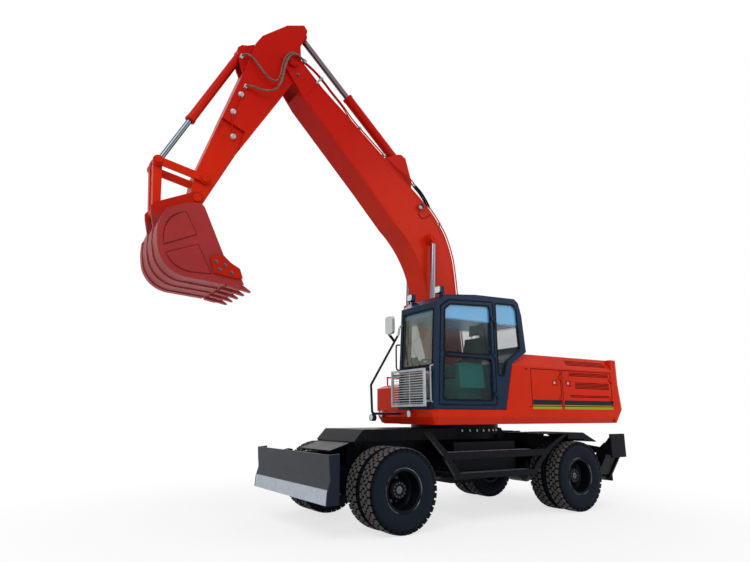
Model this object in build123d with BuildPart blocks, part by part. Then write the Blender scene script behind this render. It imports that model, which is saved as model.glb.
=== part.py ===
from build123d import *
import os
from math import hypot

os.makedirs("parts", exist_ok=True)

# A wheeled excavator, parked on its eight twin tyres with its boom raised and its blade and
# stabilisers up. Millimetres. +X is forward, +Y is the operator's left, +Z is up, and the ground is
# at z = 0. Every x below is measured from the swing axis, which stands at swing_x in the part's
# frame, so that the origin lies under the middle of the whole machine.
swing_x = -1080.0

# Gaps between pieces.
seat_gap = 0.3          # pieces of one body that bear on each other
bearing_gap = 0.5       # a pin or shaft in its eye
running_gap = 6.0       # pieces that move past each other

# Wheels: eight tyres on four twin hubs.
tyre_radius = 530.0
tyre_width = 275.0
tyre_flats = 32
twin_spacing = 340.0
outer_face_y = 1316.0
bead_radius = 254.0
flange_radius = 284.0
rim_width = 200.0
front_axle_x = 1927.0
rear_axle_x = -1456.0
twin_y = outer_face_y - tyre_width / 2 - twin_spacing / 2
hub_radius = 150.0
hub_inner = 250.0       # the hub drum's reach inward from the twins' middle
hub_cap_radius = 128.0
hub_cap_reach = 172.0
spindle_radius = 70.0
kingpin_y = 600.0
kingpin_radius = 32.0

# Carrier frame.
frame_half = 360.0
frame_top = 1110.0
frame_low = 600.0
axle_clear_z = 720.0
platform_half = 570.0
platform_top = 1270.0
nose_x = 2560.0
tail_x = -2830.0
tail_half = 700.0
ring_radius = 713.0
ring_base = 1218.0
deck_bottom = 1335.0

# Upper structure.
deck_top = 1540.0
deck_half = 1300.0
deck_front = 1850.0
tail_join = -2480.0
hood_front = -440.0
hood_wall = 30.0
hood_shoulder = 2200.0
hood_top = 2400.0
hood_top_half = 1180.0
cab_right = 430.0
cab_wall = 45.0
cab_floor = 1550.0

# Pivots of the working arm in the side view, as (x, z).
boom_foot = (100.0, 1950.0)
boom_ram_base = (730.0, 1600.0)
boom_ram_eye = (610.0, 4365.0)
elbow = (3215.0, 6800.0)
arm_ram_base = (1090.0, 5730.0)
arm_ram_eye = (2990.0, 7490.0)
bucket_ram_base = (3960.0, 6830.0)
idler_pin = (4410.0, 4600.0)
link_pin = (5030.0, 4720.0)
bucket_pin = (4500.0, 4300.0)
ear_pin = (4992.0, 4058.0)

boom_half = 235.0
fork_wall = 30.0
stick_half = 200.0
tip_half = 160.0
ear_thick = 38.0
bucket_half = 535.0
tooth_count = 5
tooth_half = 46.0
strap_count = 4
strap_width = 110.0
cutter_thick = 26.0
panel_raise = 7.0
boom_ram_y = 340.0
pin_radius = 40.0


def side(y=0.0):
    """Plane of the side view at a given y: local x runs forward from the swing axis, local y up."""
    return Plane(origin=(swing_x, y, 0), x_dir=(1, 0, 0), z_dir=(0, -1, 0))


def level(z=0.0):
    """Horizontal plane at a given height, with its origin on the swing axis."""
    return Plane(origin=(swing_x, 0, z))


def across(x=0.0):
    """Plane of the view from ahead at a given x: local x runs to the left, local y up."""
    return Plane(origin=(swing_x + x, 0, 0), x_dir=(0, 1, 0), z_dir=(1, 0, 0))


def save(builder, name):
    """Label a finished piece and write it to its own file."""
    builder.part.label = name
    export_step(builder.part, f"parts/{name}.step")


def slab(points, y_low, y_high, mode=Mode.ADD):
    """Extrude a side-view outline between two values of y."""
    with BuildSketch(side((y_low + y_high) / 2)) as outline:
        with BuildLine():
            Polyline(*points, close=True)
        make_face()
    extrude(outline.sketch, amount=(y_high - y_low) / 2, both=True, mode=mode)


def section(points, x_low, x_high, mode=Mode.ADD):
    """Extrude an outline in y and z between two values of x."""
    with BuildSketch(across(x_low)) as outline:
        with BuildLine():
            Polyline(*points, close=True)
        make_face()
    extrude(outline.sketch, amount=x_high - x_low, mode=mode)


def block(low, high, mode=Mode.ADD):
    """Add a rectangular block from its lowest corner to its highest."""
    with BuildSketch(level(low[2])) as outline:
        with Locations(((low[0] + high[0]) / 2, (low[1] + high[1]) / 2)):
            Rectangle(high[0] - low[0], high[1] - low[1])
    extrude(outline.sketch, amount=high[2] - low[2], mode=mode)


def cross_pin(point, radius, y_low, y_high, mode=Mode.ADD):
    """Add a round bar along y through a point (x, z) of the side view."""
    with BuildSketch(side((y_low + y_high) / 2)) as outline:
        with Locations(point):
            Circle(radius)
    extrude(outline.sketch, amount=(y_high - y_low) / 2, both=True, mode=mode)


def upright_pin(x, y, radius, z_low, z_high, mode=Mode.ADD):
    """Add a round bar along z."""
    with BuildSketch(level(z_low)) as outline:
        with Locations((x, y)):
            Circle(radius)
    extrude(outline.sketch, amount=z_high - z_low, mode=mode)


def turned(profile, x, z, mode=Mode.ADD):
    """Revolve a profile of (y, radius) points about the line along y through x and z."""
    turning = Plane(origin=(swing_x + x, 0, z), x_dir=(0, 1, 0), z_dir=(-1, 0, 0))
    with BuildSketch(turning) as outline:
        with BuildLine():
            Polyline(*profile, close=True)
        make_face()
    axis = Axis((swing_x + x, 0, z), (0, 1, 0))
    revolve(outline.sketch, axis=axis, revolution_arc=360, mode=mode)


# Hinges: a pin between two lugs on the fixed panel, and one sleeve on the leaf.

hinge_pin = 6.0
hinge_sleeve = 12.0
hinge_off = 14.0
hinge_strap = 40.0
hinge_spread = 45.0


def hinge_strap_at(x, face, out, towards, z_low, z_high):
    """Strap from a hinge's axis to the panel that lies towards the given sign of x."""
    axis_y = face + out * hinge_off
    x_near, x_far = sorted((x, x + towards * hinge_strap))
    y_near, y_far = sorted((axis_y - out * hinge_pin, axis_y + out * hinge_pin))
    block((x_near, y_near, z_low), (x_far, y_far, z_high))
    x_near, x_far = sorted((x + towards * hinge_off, x + towards * hinge_strap))
    y_near, y_far = sorted((face - out, axis_y))
    block((x_near, y_near, z_low), (x_far, y_far, z_high))


def upright_hinge_lugs(x, face, out, towards, z):
    """Lugs and pin of a hinge along z: out is the sign of y away from the panel at face."""
    for z_low in (z - hinge_spread, z + hinge_spread - 20):
        hinge_strap_at(x, face, out, towards, z_low, z_low + 20)
    upright_pin(x, face + out * hinge_off, hinge_pin, z - hinge_spread, z + hinge_spread)


def upright_hinge_sleeve(x, face, out, towards, z):
    """Sleeve and strap of a hinge along z, on the leaf."""
    axis_y = face + out * hinge_off
    half = hinge_spread - 20 - seat_gap
    upright_pin(x, axis_y, hinge_sleeve, z - half, z + half)
    hinge_strap_at(x, face, out, towards, z - half, z + half)
    upright_pin(x, axis_y, hinge_pin + seat_gap, z - half, z + half, mode=Mode.SUBTRACT)


def flat_strap(x, face, towards, y_low, y_high):
    """Strap from a level hinge's axis to the panel that lies towards the given sign of x."""
    axis_z = face + hinge_off
    slab([(x, axis_z - hinge_pin), (x, axis_z + hinge_pin), (x + towards * hinge_strap, axis_z),
          (x + towards * hinge_strap, face - 1), (x + towards * hinge_off, face - 1),
          (x + towards * hinge_off, axis_z - hinge_pin)], y_low, y_high)


def flat_hinge_lugs(x, face, towards, y):
    """Lugs and pin of a hinge along y on a level panel at face."""
    for y_low in (y - hinge_spread, y + hinge_spread - 20):
        flat_strap(x, face, towards, y_low, y_low + 20)
    cross_pin((x, face + hinge_off), hinge_pin, y - hinge_spread, y + hinge_spread)


def flat_hinge_sleeve(x, face, towards, y):
    """Sleeve and strap of a hinge along y, on the leaf."""
    half = hinge_spread - 20 - seat_gap
    cross_pin((x, face + hinge_off), hinge_sleeve, y - half, y + half)
    flat_strap(x, face, towards, y - half, y + half)
    cross_pin((x, face + hinge_off), hinge_pin + seat_gap, y - half, y + half, mode=Mode.SUBTRACT)


# Wheels

def tyre(centre_y, x):
    """One tyre: bead, bulged sidewall, shoulder and tread face, in flats that keep it light."""
    bead = rim_width / 2 - seat_gap
    half = tyre_width / 2
    flank = [(bead, flange_radius + 4), (half, 388.0), (half - 13, 476.0), (half - 57, tyre_radius)]
    stations = [(-across_y, radius) for across_y, radius in flank] + flank[::-1]
    rings = []
    for across_y, radius in stations:
        plane = Plane(origin=(swing_x + x, centre_y + across_y, tyre_radius), x_dir=(1, 0, 0),
                      z_dir=(0, 1, 0))
        with BuildSketch(plane) as ring:
            RegularPolygon(radius, tyre_flats)
        rings.append(ring.sketch)
    loft(rings, ruled=True)
    plane = Plane(origin=(swing_x + x, centre_y - half, tyre_radius), x_dir=(1, 0, 0), z_dir=(0, 1, 0))
    with BuildSketch(plane) as bore:
        RegularPolygon(bead_radius + seat_gap, tyre_flats, major_radius=False)
    extrude(bore.sketch, amount=tyre_width, mode=Mode.SUBTRACT)


def rim(centre_y, x, disc_y, inward):
    """One rim: barrel with two flanges, and a dished disc that meets the hub at disc_y."""
    half = rim_width / 2
    wall = 14.0
    turned([(centre_y - half, bead_radius - wall), (centre_y - half, bead_radius),
            (centre_y + half, bead_radius), (centre_y + half, bead_radius - wall)], x, tyre_radius)
    for edge, outer in ((centre_y - half, centre_y - half - 8), (centre_y + half, centre_y + half + 8)):
        turned([(edge, bead_radius - wall), (edge, flange_radius),
                (outer, flange_radius), (outer, bead_radius - wall)], x, tyre_radius)
    start = centre_y + inward * (half - 20)
    turned([(start, bead_radius - wall + 2), (start - inward * 16, bead_radius - wall + 2),
            (disc_y - inward * 14, hub_radius + 20), (disc_y - inward * 14, hub_radius - 30),
            (disc_y, hub_radius - 30), (disc_y, hub_radius + 26)], x, tyre_radius)


def twin_wheel(side_sign, x, place):
    """The tyres of one twin wheel, then its two rims on their hub."""
    with BuildPart() as tyres:
        for offset in (-twin_spacing / 2, twin_spacing / 2):
            tyre(side_sign * (twin_y + offset), x)
    save(tyres, f"tyres_{place}")
    with BuildPart() as rims:
        rim(side_sign * (twin_y + twin_spacing / 2), x, side_sign * (twin_y + 14), -side_sign)
        rim(side_sign * (twin_y - twin_spacing / 2), x, side_sign * (twin_y - 14), side_sign)
        inner = twin_y - hub_inner
        bore_end = twin_y - 60
        turned([(side_sign * inner, spindle_radius + bearing_gap),
                (side_sign * inner, hub_radius - 12), (side_sign * (inner + 12), hub_radius),
                (side_sign * (twin_y + 20), hub_radius), (side_sign * (twin_y + 20), hub_cap_radius),
                (side_sign * (twin_y + hub_cap_reach - 20), hub_cap_radius),
                (side_sign * (twin_y + hub_cap_reach), hub_cap_radius - 26),
                (side_sign * (twin_y + hub_cap_reach), 0), (side_sign * bore_end, 0),
                (side_sign * bore_end, spindle_radius + bearing_gap)], x, tyre_radius)
    save(rims, f"rims_{place}")


for side_sign, x, place in ((1, front_axle_x, "front_left"), (-1, front_axle_x, "front_right"),
                            (1, rear_axle_x, "rear_left"), (-1, rear_axle_x, "rear_right")):
    twin_wheel(side_sign, x, place)

# Axles

spindle_end = twin_y - 60 - bearing_gap
yoke_low, yoke_high = 150.0, 195.0
yoke_inner = 490.0
axle_bulge = 182.0

with BuildPart() as front_axle:
    turned([(-yoke_inner, 0), (-yoke_inner, 95), (-230, 105), (-150, axle_bulge),
            (150, axle_bulge), (230, 105), (yoke_inner, 95), (yoke_inner, 0)],
           front_axle_x, tyre_radius)
    block((front_axle_x - 150, -130, tyre_radius + 100),
          (front_axle_x + 150, 130, axle_clear_z - seat_gap))
    for y_sign in (1, -1):
        for low, high in ((yoke_low, yoke_high), (-yoke_high, -yoke_low)):
            y_near, y_far = sorted((y_sign * (yoke_inner - 20), y_sign * (kingpin_y + 70)))
            block((front_axle_x - 75, y_near, tyre_radius + low),
                  (front_axle_x + 75, y_far, tyre_radius + high))
        y_near, y_far = sorted((y_sign * 400, y_sign * yoke_inner))
        block((front_axle_x - 70, y_near, tyre_radius - yoke_high),
              (front_axle_x + 70, y_far, tyre_radius + yoke_high))
        upright_pin(front_axle_x, y_sign * kingpin_y, kingpin_radius,
                    tyre_radius - yoke_high, tyre_radius + yoke_high)
save(front_axle, "front_axle")

steer_arm_x = 250.0
steer_arm_y = 580.0

for y_sign, place in ((1, "left"), (-1, "right")):
    with BuildPart() as knuckle:
        y_near, y_far = sorted((y_sign * (kingpin_y - 55), y_sign * (kingpin_y + 55)))
        block((front_axle_x - 70, y_near, tyre_radius - yoke_low + bearing_gap),
              (front_axle_x + 70, y_far, tyre_radius + yoke_low - bearing_gap))
        y_near, y_far = sorted((y_sign * (kingpin_y + 40), y_sign * spindle_end))
        cross_pin((front_axle_x, tyre_radius), spindle_radius, y_near, y_far)
        y_near, y_far = sorted((y_sign * (steer_arm_y - 27), y_sign * (steer_arm_y + 45)))
        block((front_axle_x + 60, y_near, tyre_radius + 42),
              (front_axle_x + steer_arm_x + 40, y_far, tyre_radius + 70))
        upright_pin(front_axle_x, y_sign * kingpin_y, kingpin_radius + bearing_gap,
                    0, 2 * tyre_radius, mode=Mode.SUBTRACT)
    save(knuckle, f"knuckle_{place}")

with BuildPart() as tie_rod:
    cross_pin((front_axle_x + steer_arm_x, tyre_radius + 10), 22, -470, 470)
    for y_sign in (1, -1):
        upright_pin(front_axle_x + steer_arm_x, y_sign * (steer_arm_y + 5), 34,
                    tyre_radius - 20, tyre_radius + 42 - bearing_gap)
        y_near, y_far = sorted((y_sign * 440, y_sign * (steer_arm_y + 5)))
        block((front_axle_x + steer_arm_x - 22, y_near, tyre_radius - 12),
              (front_axle_x + steer_arm_x + 22, y_far, tyre_radius + 32))
save(tie_rod, "tie_rod")

with BuildPart() as rear_axle:
    turned([(-640, 0), (-640, 100), (-260, 110), (-160, axle_bulge), (160, axle_bulge),
            (260, 110), (640, 100), (640, 0)], rear_axle_x, tyre_radius)
    for y_sign in (1, -1):
        y_near, y_far = sorted((y_sign * 630, y_sign * spindle_end))
        cross_pin((rear_axle_x, tyre_radius), spindle_radius, y_near, y_far)
        y_near, y_far = sorted((y_sign * 250, y_sign * 340))
        block((rear_axle_x - 110, y_near, tyre_radius), (rear_axle_x + 110, y_far,
              axle_clear_z - seat_gap))
save(rear_axle, "rear_axle")

gearbox_x = 250.0
with BuildPart() as drive_line:
    block((-gearbox_x, -210, 420), (gearbox_x, 190, frame_low - seat_gap))
    axle_nose = axle_bulge + seat_gap
    for end, axle_face in ((gearbox_x, front_axle_x - axle_nose),
                           (-gearbox_x, rear_axle_x + axle_nose)):
        x_low, x_high = sorted((end, axle_face))
        with BuildSketch(across(x_low)) as shaft:
            with Locations((0, tyre_radius)):
                Circle(42)
        extrude(shaft.sketch, amount=x_high - x_low)
save(drive_line, "drive_line")

# Rams

def ram_plane(base, eye, y=0.0):
    """Plane of a ram in the side view: origin at its base pin, local x towards its rod's eye."""
    return Plane(origin=(swing_x + base[0], y, base[1]),
                 x_dir=(eye[0] - base[0], 0, eye[1] - base[1]), z_dir=(0, -1, 0))


def ram_length(base, eye):
    """Distance between a ram's two pins as it stands."""
    return hypot(eye[0] - base[0], eye[1] - base[1])


def ram_barrel(plane, radius, reach, rod_radius, eye_radius, eye_width, pin=pin_radius):
    """A ram's barrel: base eye, closed end, tube and gland, bored for the rod."""
    wall, gland = radius * 0.2, radius * 0.65
    bore = radius - wall
    profile = [(eye_radius * 0.6, 0), (eye_radius * 0.6, radius), (reach, radius),
               (reach, rod_radius + bearing_gap), (reach - gland, rod_radius + bearing_gap),
               (reach - gland, bore), (eye_radius + 12, bore), (eye_radius + 12, 0)]
    with BuildSketch(plane) as outline:
        with BuildLine():
            Polyline(*profile, close=True)
        make_face()
    revolve(outline.sketch, axis=Axis(plane.origin, plane.x_dir), revolution_arc=360)
    with BuildSketch(plane) as collar:
        with BuildLine():
            Polyline((reach - gland, radius - 1), (reach - gland, radius + 7), (reach - 8, radius + 7),
                     (reach - 8, radius - 1), close=True)
        make_face()
    revolve(collar.sketch, axis=Axis(plane.origin, plane.x_dir), revolution_arc=360)
    with BuildSketch(plane) as eye:
        Circle(eye_radius)
    extrude(eye.sketch, amount=eye_width / 2, both=True)
    with BuildSketch(plane) as bore_hole:
        Circle(pin + bearing_gap)
    extrude(bore_hole.sketch, amount=eye_width, both=True, mode=Mode.SUBTRACT)


def ram_rod(plane, length, radius, rod_radius, rod_reach, eye_radius, eye_width, cap=0.0, bore=0.0):
    """A ram's rod: piston, bar, and an eye at the far pin: solid, with pin caps, or bored."""
    start, piston, bore_radius = length - rod_reach, radius * 0.45, radius * 0.8
    with BuildSketch(plane) as outline:
        with BuildLine():
            Polyline((start, 0), (start, bore_radius - 1), (start + piston, bore_radius - 1),
                     (start + piston, rod_radius), (length - eye_radius * 0.5, rod_radius),
                     (length - eye_radius * 0.5, 0), close=True)
        make_face()
    revolve(outline.sketch, axis=Axis(plane.origin, plane.x_dir), revolution_arc=360)
    with BuildSketch(plane) as eye:
        with Locations((length, 0)):
            Circle(eye_radius)
    extrude(eye.sketch, amount=eye_width / 2, both=True)
    if cap:
        with BuildSketch(plane) as head:
            with Locations((length, 0)):
                Circle(pin_radius)
        extrude(head.sketch, amount=eye_width / 2 + cap, both=True)
    if bore:
        with BuildSketch(plane) as bore_hole:
            with Locations((length, 0)):
                Circle(bore)
        extrude(bore_hole.sketch, amount=eye_width, both=True, mode=Mode.SUBTRACT)


# Blade and stabiliser pivots, in the side view and in the view from ahead.
blade_arm_low = (2310.0, 470.0)
blade_arm_high = (2310.0, 730.0)
blade_arm_run = (512.0, 228.0)
blade_arm_y = 300.0
blade_arm_half = 42.0
blade_tube = (2611.0, 604.0)
blade_ram_base = (2380.0, 970.0)
blade_ram_y = 180.0
blade_pin_radius = 26.0
blade_brace = (2720.0, 655.0)
leg_pivot = (795.0, 430.0)
leg_x_low = tail_x + 40.0
leg_x_high = tail_x + 450.0
leg_ram_base = (300.0, 930.0)
leg_ram_eye = (1000.0, 850.0)
leg_ram_x = (leg_x_low + leg_x_high) / 2

# Eyes that lash the machine to a trailer.
eye_bore = 25.0
eye_thick = 30.0
eye_front = (2178.0, 1075.0)
eye_front_y = 530.0
eye_rear = (tail_x - 35.0, 570.0)
eye_rear_y = 120.0

# Carrier frame

with BuildPart() as chassis:
    slab([(2240, 400), (2240, frame_top), (-1900, frame_top), (-2330, 966), (-2330, 740),
          (tail_x, 740), (tail_x, 430), (-1990, 430), (-1800, axle_clear_z), (-1100, axle_clear_z), (-950, frame_low),
          (1480, frame_low), (1600, axle_clear_z), (2210, axle_clear_z), (2210, 400)],
         -frame_half, frame_half)
    slab([(2200, 400), (2200, frame_top), (nose_x, 1000), (nose_x, 520), (2400, 400)], -110, 110)
    slab([(2100, frame_top), (2200, frame_top), (nose_x, 1000), (nose_x, 985), (2200, 1094),
          (2100, 1094)], -460, 460)
    slab([(2250, frame_top - 1), (2100, platform_top), (-500, platform_top),
          (-620, frame_top - 1)], -platform_half, platform_half)
    upright_pin(0, 0, ring_radius, frame_top - 1, ring_base)
    upright_pin(0, 0, ring_radius + 4, ring_base, platform_top + 1, mode=Mode.SUBTRACT)
    slab([(-2040, 430), (-2040, 1060), (-2330, 900), (-2330, 740), (tail_x, 740), (tail_x, 430)],
         -tail_half, tail_half)
    for x_low, x_high in ((tail_x, leg_x_low - running_gap),
                          (leg_x_high + running_gap, leg_x_high + running_gap + 34)):
        section([(-880, 350), (-880, 500), (-tail_half, 700), (tail_half, 700), (880, 500),
                 (880, 350)], x_low, x_high)
    for y_sign in (1, -1):
        for y_inner, y_outer in ((blade_arm_y - blade_arm_half - 30, blade_arm_y - blade_arm_half - 1),
                                 (blade_arm_y + blade_arm_half + 1, blade_arm_y + blade_arm_half + 30)):
            y_near, y_far = sorted((y_sign * y_inner, y_sign * y_outer))
            slab([(2230, 410), (2330, 410), (2370, 470), (2370, 730), (2330, 790), (2230, 790)],
                 y_near, y_far)
        y_near, y_far = sorted((y_sign * (blade_arm_y - blade_arm_half - 10),
                                y_sign * (blade_arm_y + blade_arm_half + 10)))
        for pivot in (blade_arm_low, blade_arm_high):
            cross_pin(pivot, 30, y_near, y_far)
        for y_inner, y_outer in ((blade_ram_y - 68, blade_ram_y - 50), (blade_ram_y + 50, blade_ram_y + 68)):
            y_near, y_far = sorted((y_sign * y_inner, y_sign * y_outer))
            slab([(2230, 880), (2380, 915), (2435, 970), (2400, 1020), (2230, 1040)], y_near, y_far)
        y_near, y_far = sorted((y_sign * (blade_ram_y - 55), y_sign * (blade_ram_y + 55)))
        cross_pin(blade_ram_base, blade_pin_radius, y_near, y_far)
        for x_low, x_high in ((leg_ram_x - 86, leg_ram_x - 62), (leg_ram_x + 62, leg_ram_x + 86)):
            section([(y_sign * 180, 739), (y_sign * 420, 739), (y_sign * 380, 930),
                     (y_sign * 300, 1000), (y_sign * 230, 930)], x_low, x_high)
        with BuildSketch(across(leg_ram_x - 70)) as ram_pin:
            with Locations((y_sign * leg_ram_base[0], leg_ram_base[1])):
                Circle(pin_radius)
        extrude(ram_pin.sketch, amount=140)
        y_near, y_far = sorted((y_sign * eye_front_y, y_sign * (eye_front_y + eye_thick)))
        slab([(eye_front[0] - 60, frame_top + 1), (eye_front[0] + 60, frame_top + 1),
              (eye_front[0] + 45, eye_front[1] - 20), (eye_front[0] + 20, eye_front[1] - 45),
              (eye_front[0] - 20, eye_front[1] - 45), (eye_front[0] - 45, eye_front[1] - 20)],
             y_near, y_far)
        cross_pin(eye_front, eye_bore, y_near, y_far, mode=Mode.SUBTRACT)
        y_near, y_far = sorted((y_sign * eye_rear_y, y_sign * (eye_rear_y + eye_thick)))
        slab([(tail_x + 1, eye_rear[1] - 70), (tail_x + 1, eye_rear[1] + 70),
              (eye_rear[0] - 25, eye_rear[1] + 45), (eye_rear[0] - 45, eye_rear[1]),
              (eye_rear[0] - 25, eye_rear[1] - 45)], y_near, y_far)
        cross_pin(eye_rear, eye_bore, y_near, y_far, mode=Mode.SUBTRACT)
        section([(y_sign * 420, 741), (y_sign * (tail_half + 1), 741), (y_sign * (tail_half + 1), 500)],
                leg_ram_x - 58 - running_gap, leg_ram_x + 58 + running_gap, mode=Mode.SUBTRACT)
        with BuildSketch(across(tail_x)) as leg_pin:
            with Locations((y_sign * leg_pivot[0], leg_pivot[1])):
                Circle(45)
        extrude(leg_pin.sketch, amount=leg_x_high - tail_x + 40)
save(chassis, "chassis")

with BuildPart() as slew_ring:
    with BuildSketch(level(ring_base + seat_gap)) as race:
        Circle(ring_radius)
        Circle(ring_radius - 95, mode=Mode.SUBTRACT)
    extrude(race.sketch, amount=deck_bottom - bearing_gap - ring_base - seat_gap)
    with BuildSketch(level(ring_base + seat_gap)) as groove:
        Circle(ring_radius + 5)
        Circle(ring_radius - 22, mode=Mode.SUBTRACT)
    extrude(groove.sketch, amount=34, mode=Mode.SUBTRACT)
    with BuildSketch(level(ring_base + seat_gap)) as bolts:
        with PolarLocations(ring_radius - 12, 36):
            RegularPolygon(radius=13, side_count=6)
    extrude(bolts.sketch, amount=36)
save(slew_ring, "slew_ring")

step_outer, step_inner = 1200.0, 1150.0
with BuildPart() as steps:
    for y_sign in (1, -1):
        y_near, y_far = sorted((y_sign * step_inner, y_sign * step_outer))
        slab([(1505, 1245), (1425, 1245), (1150, 990), (925, 690), (890, 600), (985, 600),
              (1009, 660), (1208, 940)], y_near, y_far)
        slab([(-1350, 1178 - seat_gap), (-1270, 1178 - seat_gap), (-860, 990), (-560, 720),
              (-500, 600), (-590, 600), (-640, 690), (-930, 940)], y_near, y_far)
        slab([(1180, 865), (1208, 960), (-900, 960), (-830, 865)], y_near, y_far)
        slab([(910, 600), (960, 672), (-600, 672), (-560, 600)], y_near, y_far)
        y_near, y_far = sorted((y_sign * 985, y_sign * step_outer))
        block((-560, y_near, 940), (1130, y_far, 960))
        block((-500, y_near, 652), (900, y_far, 672))
        for x in (-440, 860):
            y_near, y_far = sorted((y_sign * (frame_half + seat_gap), y_sign * step_inner))
            block((x - 30, y_near, 880), (x + 30, y_far, 930))
            block((x - 30, y_near, 605), (x + 30, y_far, 652))
save(steps, "steps")

with BuildPart() as tanks:
    for y_sign in (1, -1):
        y_near, y_far = sorted((y_sign * (frame_half + seat_gap), y_sign * 960))
        block((-400, y_near, 670), (820, y_far, 870))
        block((-400, y_near, 870), (820, y_far, 1080))
        for x in (-440, 860):
            block((x - 31, y_near - 1, 600), (x + 31, y_far + 1, 940), mode=Mode.SUBTRACT)
save(tanks, "side_tanks")

with BuildPart() as fenders:
    for y_sign in (1, -1):
        y_near, y_far = sorted((y_sign * (frame_half + seat_gap), y_sign * step_outer))
        slab([(-640, 1190), (-1720, 1190), (-2040, 1045), (-2040, 1035), (-1720, 1178),
              (-640, 1178)], y_near, y_far)
        y_near, y_far = sorted((y_sign * (step_outer - 12), y_sign * step_outer))
        slab([(-1352, 1190), (-1720, 1190), (-2040, 1045), (-1960, 1045), (-1700, 1090),
              (-1352, 1095)], y_near, y_far)
        y_near, y_far = sorted((y_sign * (frame_half + seat_gap), y_sign * (frame_half + 14)))
        slab([(-640, 1000), (-640, 1190), (-1720, 1190), (-1720, 1000)], y_near, y_far)
save(fenders, "rear_fenders")

# Blade on its four parallel arms

with BuildPart() as blade_arms:
    low_end = (blade_arm_low[0] + blade_arm_run[0], blade_arm_low[1] + blade_arm_run[1])
    for y_sign in (1, -1):
        y_near, y_far = sorted((y_sign * (blade_arm_y - blade_arm_half),
                                y_sign * (blade_arm_y + blade_arm_half)))
        slab([(blade_arm_low[0] - 20, blade_arm_low[1] + 55), (low_end[0] - 20, low_end[1] + 50),
              (low_end[0] + 20, low_end[1] - 50), (blade_arm_low[0] + 20, blade_arm_low[1] - 55)],
             y_near, y_far)
        cross_pin(blade_arm_low, 58, y_near, y_far)
        cross_pin(low_end, 52, y_near, y_far)
        cross_pin(blade_arm_low, 30 + bearing_gap, y_near, y_far, mode=Mode.SUBTRACT)
        cross_pin(low_end, 30 + bearing_gap, y_near, y_far, mode=Mode.SUBTRACT)
    cross_pin(blade_tube, blade_pin_radius, -blade_arm_y, blade_arm_y)
    cross_pin(blade_brace, 36, -blade_arm_y, blade_arm_y)
save(blade_arms, "blade_arms")

with BuildPart() as blade_links:
    high_end = (blade_arm_high[0] + blade_arm_run[0], blade_arm_high[1] + blade_arm_run[1])
    for y_sign in (1, -1):
        y_near, y_far = sorted((y_sign * (blade_arm_y - blade_arm_half + 8),
                                y_sign * (blade_arm_y + blade_arm_half - 8)))
        slab([(blade_arm_high[0] - 14, blade_arm_high[1] + 36), (high_end[0] - 14, high_end[1] + 36),
              (high_end[0] + 14, high_end[1] - 36), (blade_arm_high[0] + 14, blade_arm_high[1] - 36)],
             y_near, y_far)
        cross_pin(blade_arm_high, 50, y_near, y_far)
        cross_pin(high_end, 46, y_near, y_far)
        cross_pin(blade_arm_high, 30 + bearing_gap, y_near, y_far, mode=Mode.SUBTRACT)
        cross_pin(high_end, 30 + bearing_gap, y_near, y_far, mode=Mode.SUBTRACT)
save(blade_links, "blade_links")

blade_half = 1190.0
blade_low, blade_high = 415.0, 992.0
with BuildPart() as blade:
    slab([(2976, blade_low), (2966, 560), (2925, 700), (2938, 840), (2950, blade_high),
          (2915, blade_high), (2903, 840), (2890, 700), (2930, 560), (2946, blade_low)],
         -blade_half, blade_half)
    for y_near, y_far in ((-blade_half, -blade_half + 25), (blade_half - 25, blade_half)):
        slab([(2976, blade_low), (2966, 560), (2925, 700), (2938, 840), (2950, blade_high),
              (2806, blade_high + 12), (2806, blade_low)], y_near, y_far)
    slab([(2880, blade_high - 20), (2925, blade_high - 20), (2925, blade_high - 80),
          (2880, blade_high - 80)], -blade_half + 20, blade_half - 20)
    for y_sign in (1, -1):
        for y_inner, y_outer in ((blade_arm_y - blade_arm_half - 30, blade_arm_y - blade_arm_half - 1),
                                 (blade_arm_y + blade_arm_half + 1, blade_arm_y + blade_arm_half + 30)):
            y_near, y_far = sorted((y_sign * y_inner, y_sign * y_outer))
            slab([(2790, 620), (2900, 560), (2950, 560), (2910, 700), (2920, 900), (2900, 985),
                  (2800, 1000), (2770, 950), (2770, 700)], y_near, y_far)
        y_near, y_far = sorted((y_sign * (blade_arm_y - blade_arm_half - 10),
                                y_sign * (blade_arm_y + blade_arm_half + 10)))
        cross_pin(low_end, 30, y_near, y_far)
        cross_pin(high_end, 30, y_near, y_far)
save(blade, "blade")

blade_ram = ram_length(blade_ram_base, blade_tube)
blade_ram_reach, blade_rod_reach = 374.0, 372.0
with BuildPart() as blade_barrels:
    for y_sign in (1, -1):
        plane = ram_plane(blade_ram_base, blade_tube, y_sign * blade_ram_y)
        ram_barrel(plane, 46, blade_ram_reach, 24, 44, 96, pin=blade_pin_radius)
save(blade_barrels, "blade_ram_barrels")
with BuildPart() as blade_rods:
    for y_sign in (1, -1):
        plane = ram_plane(blade_ram_base, blade_tube, y_sign * blade_ram_y)
        ram_rod(plane, blade_ram, 46, 24, blade_rod_reach, 54, 60, bore=blade_pin_radius + 14)
save(blade_rods, "blade_ram_rods")

# Stabiliser legs, folded up beside the tail

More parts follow.
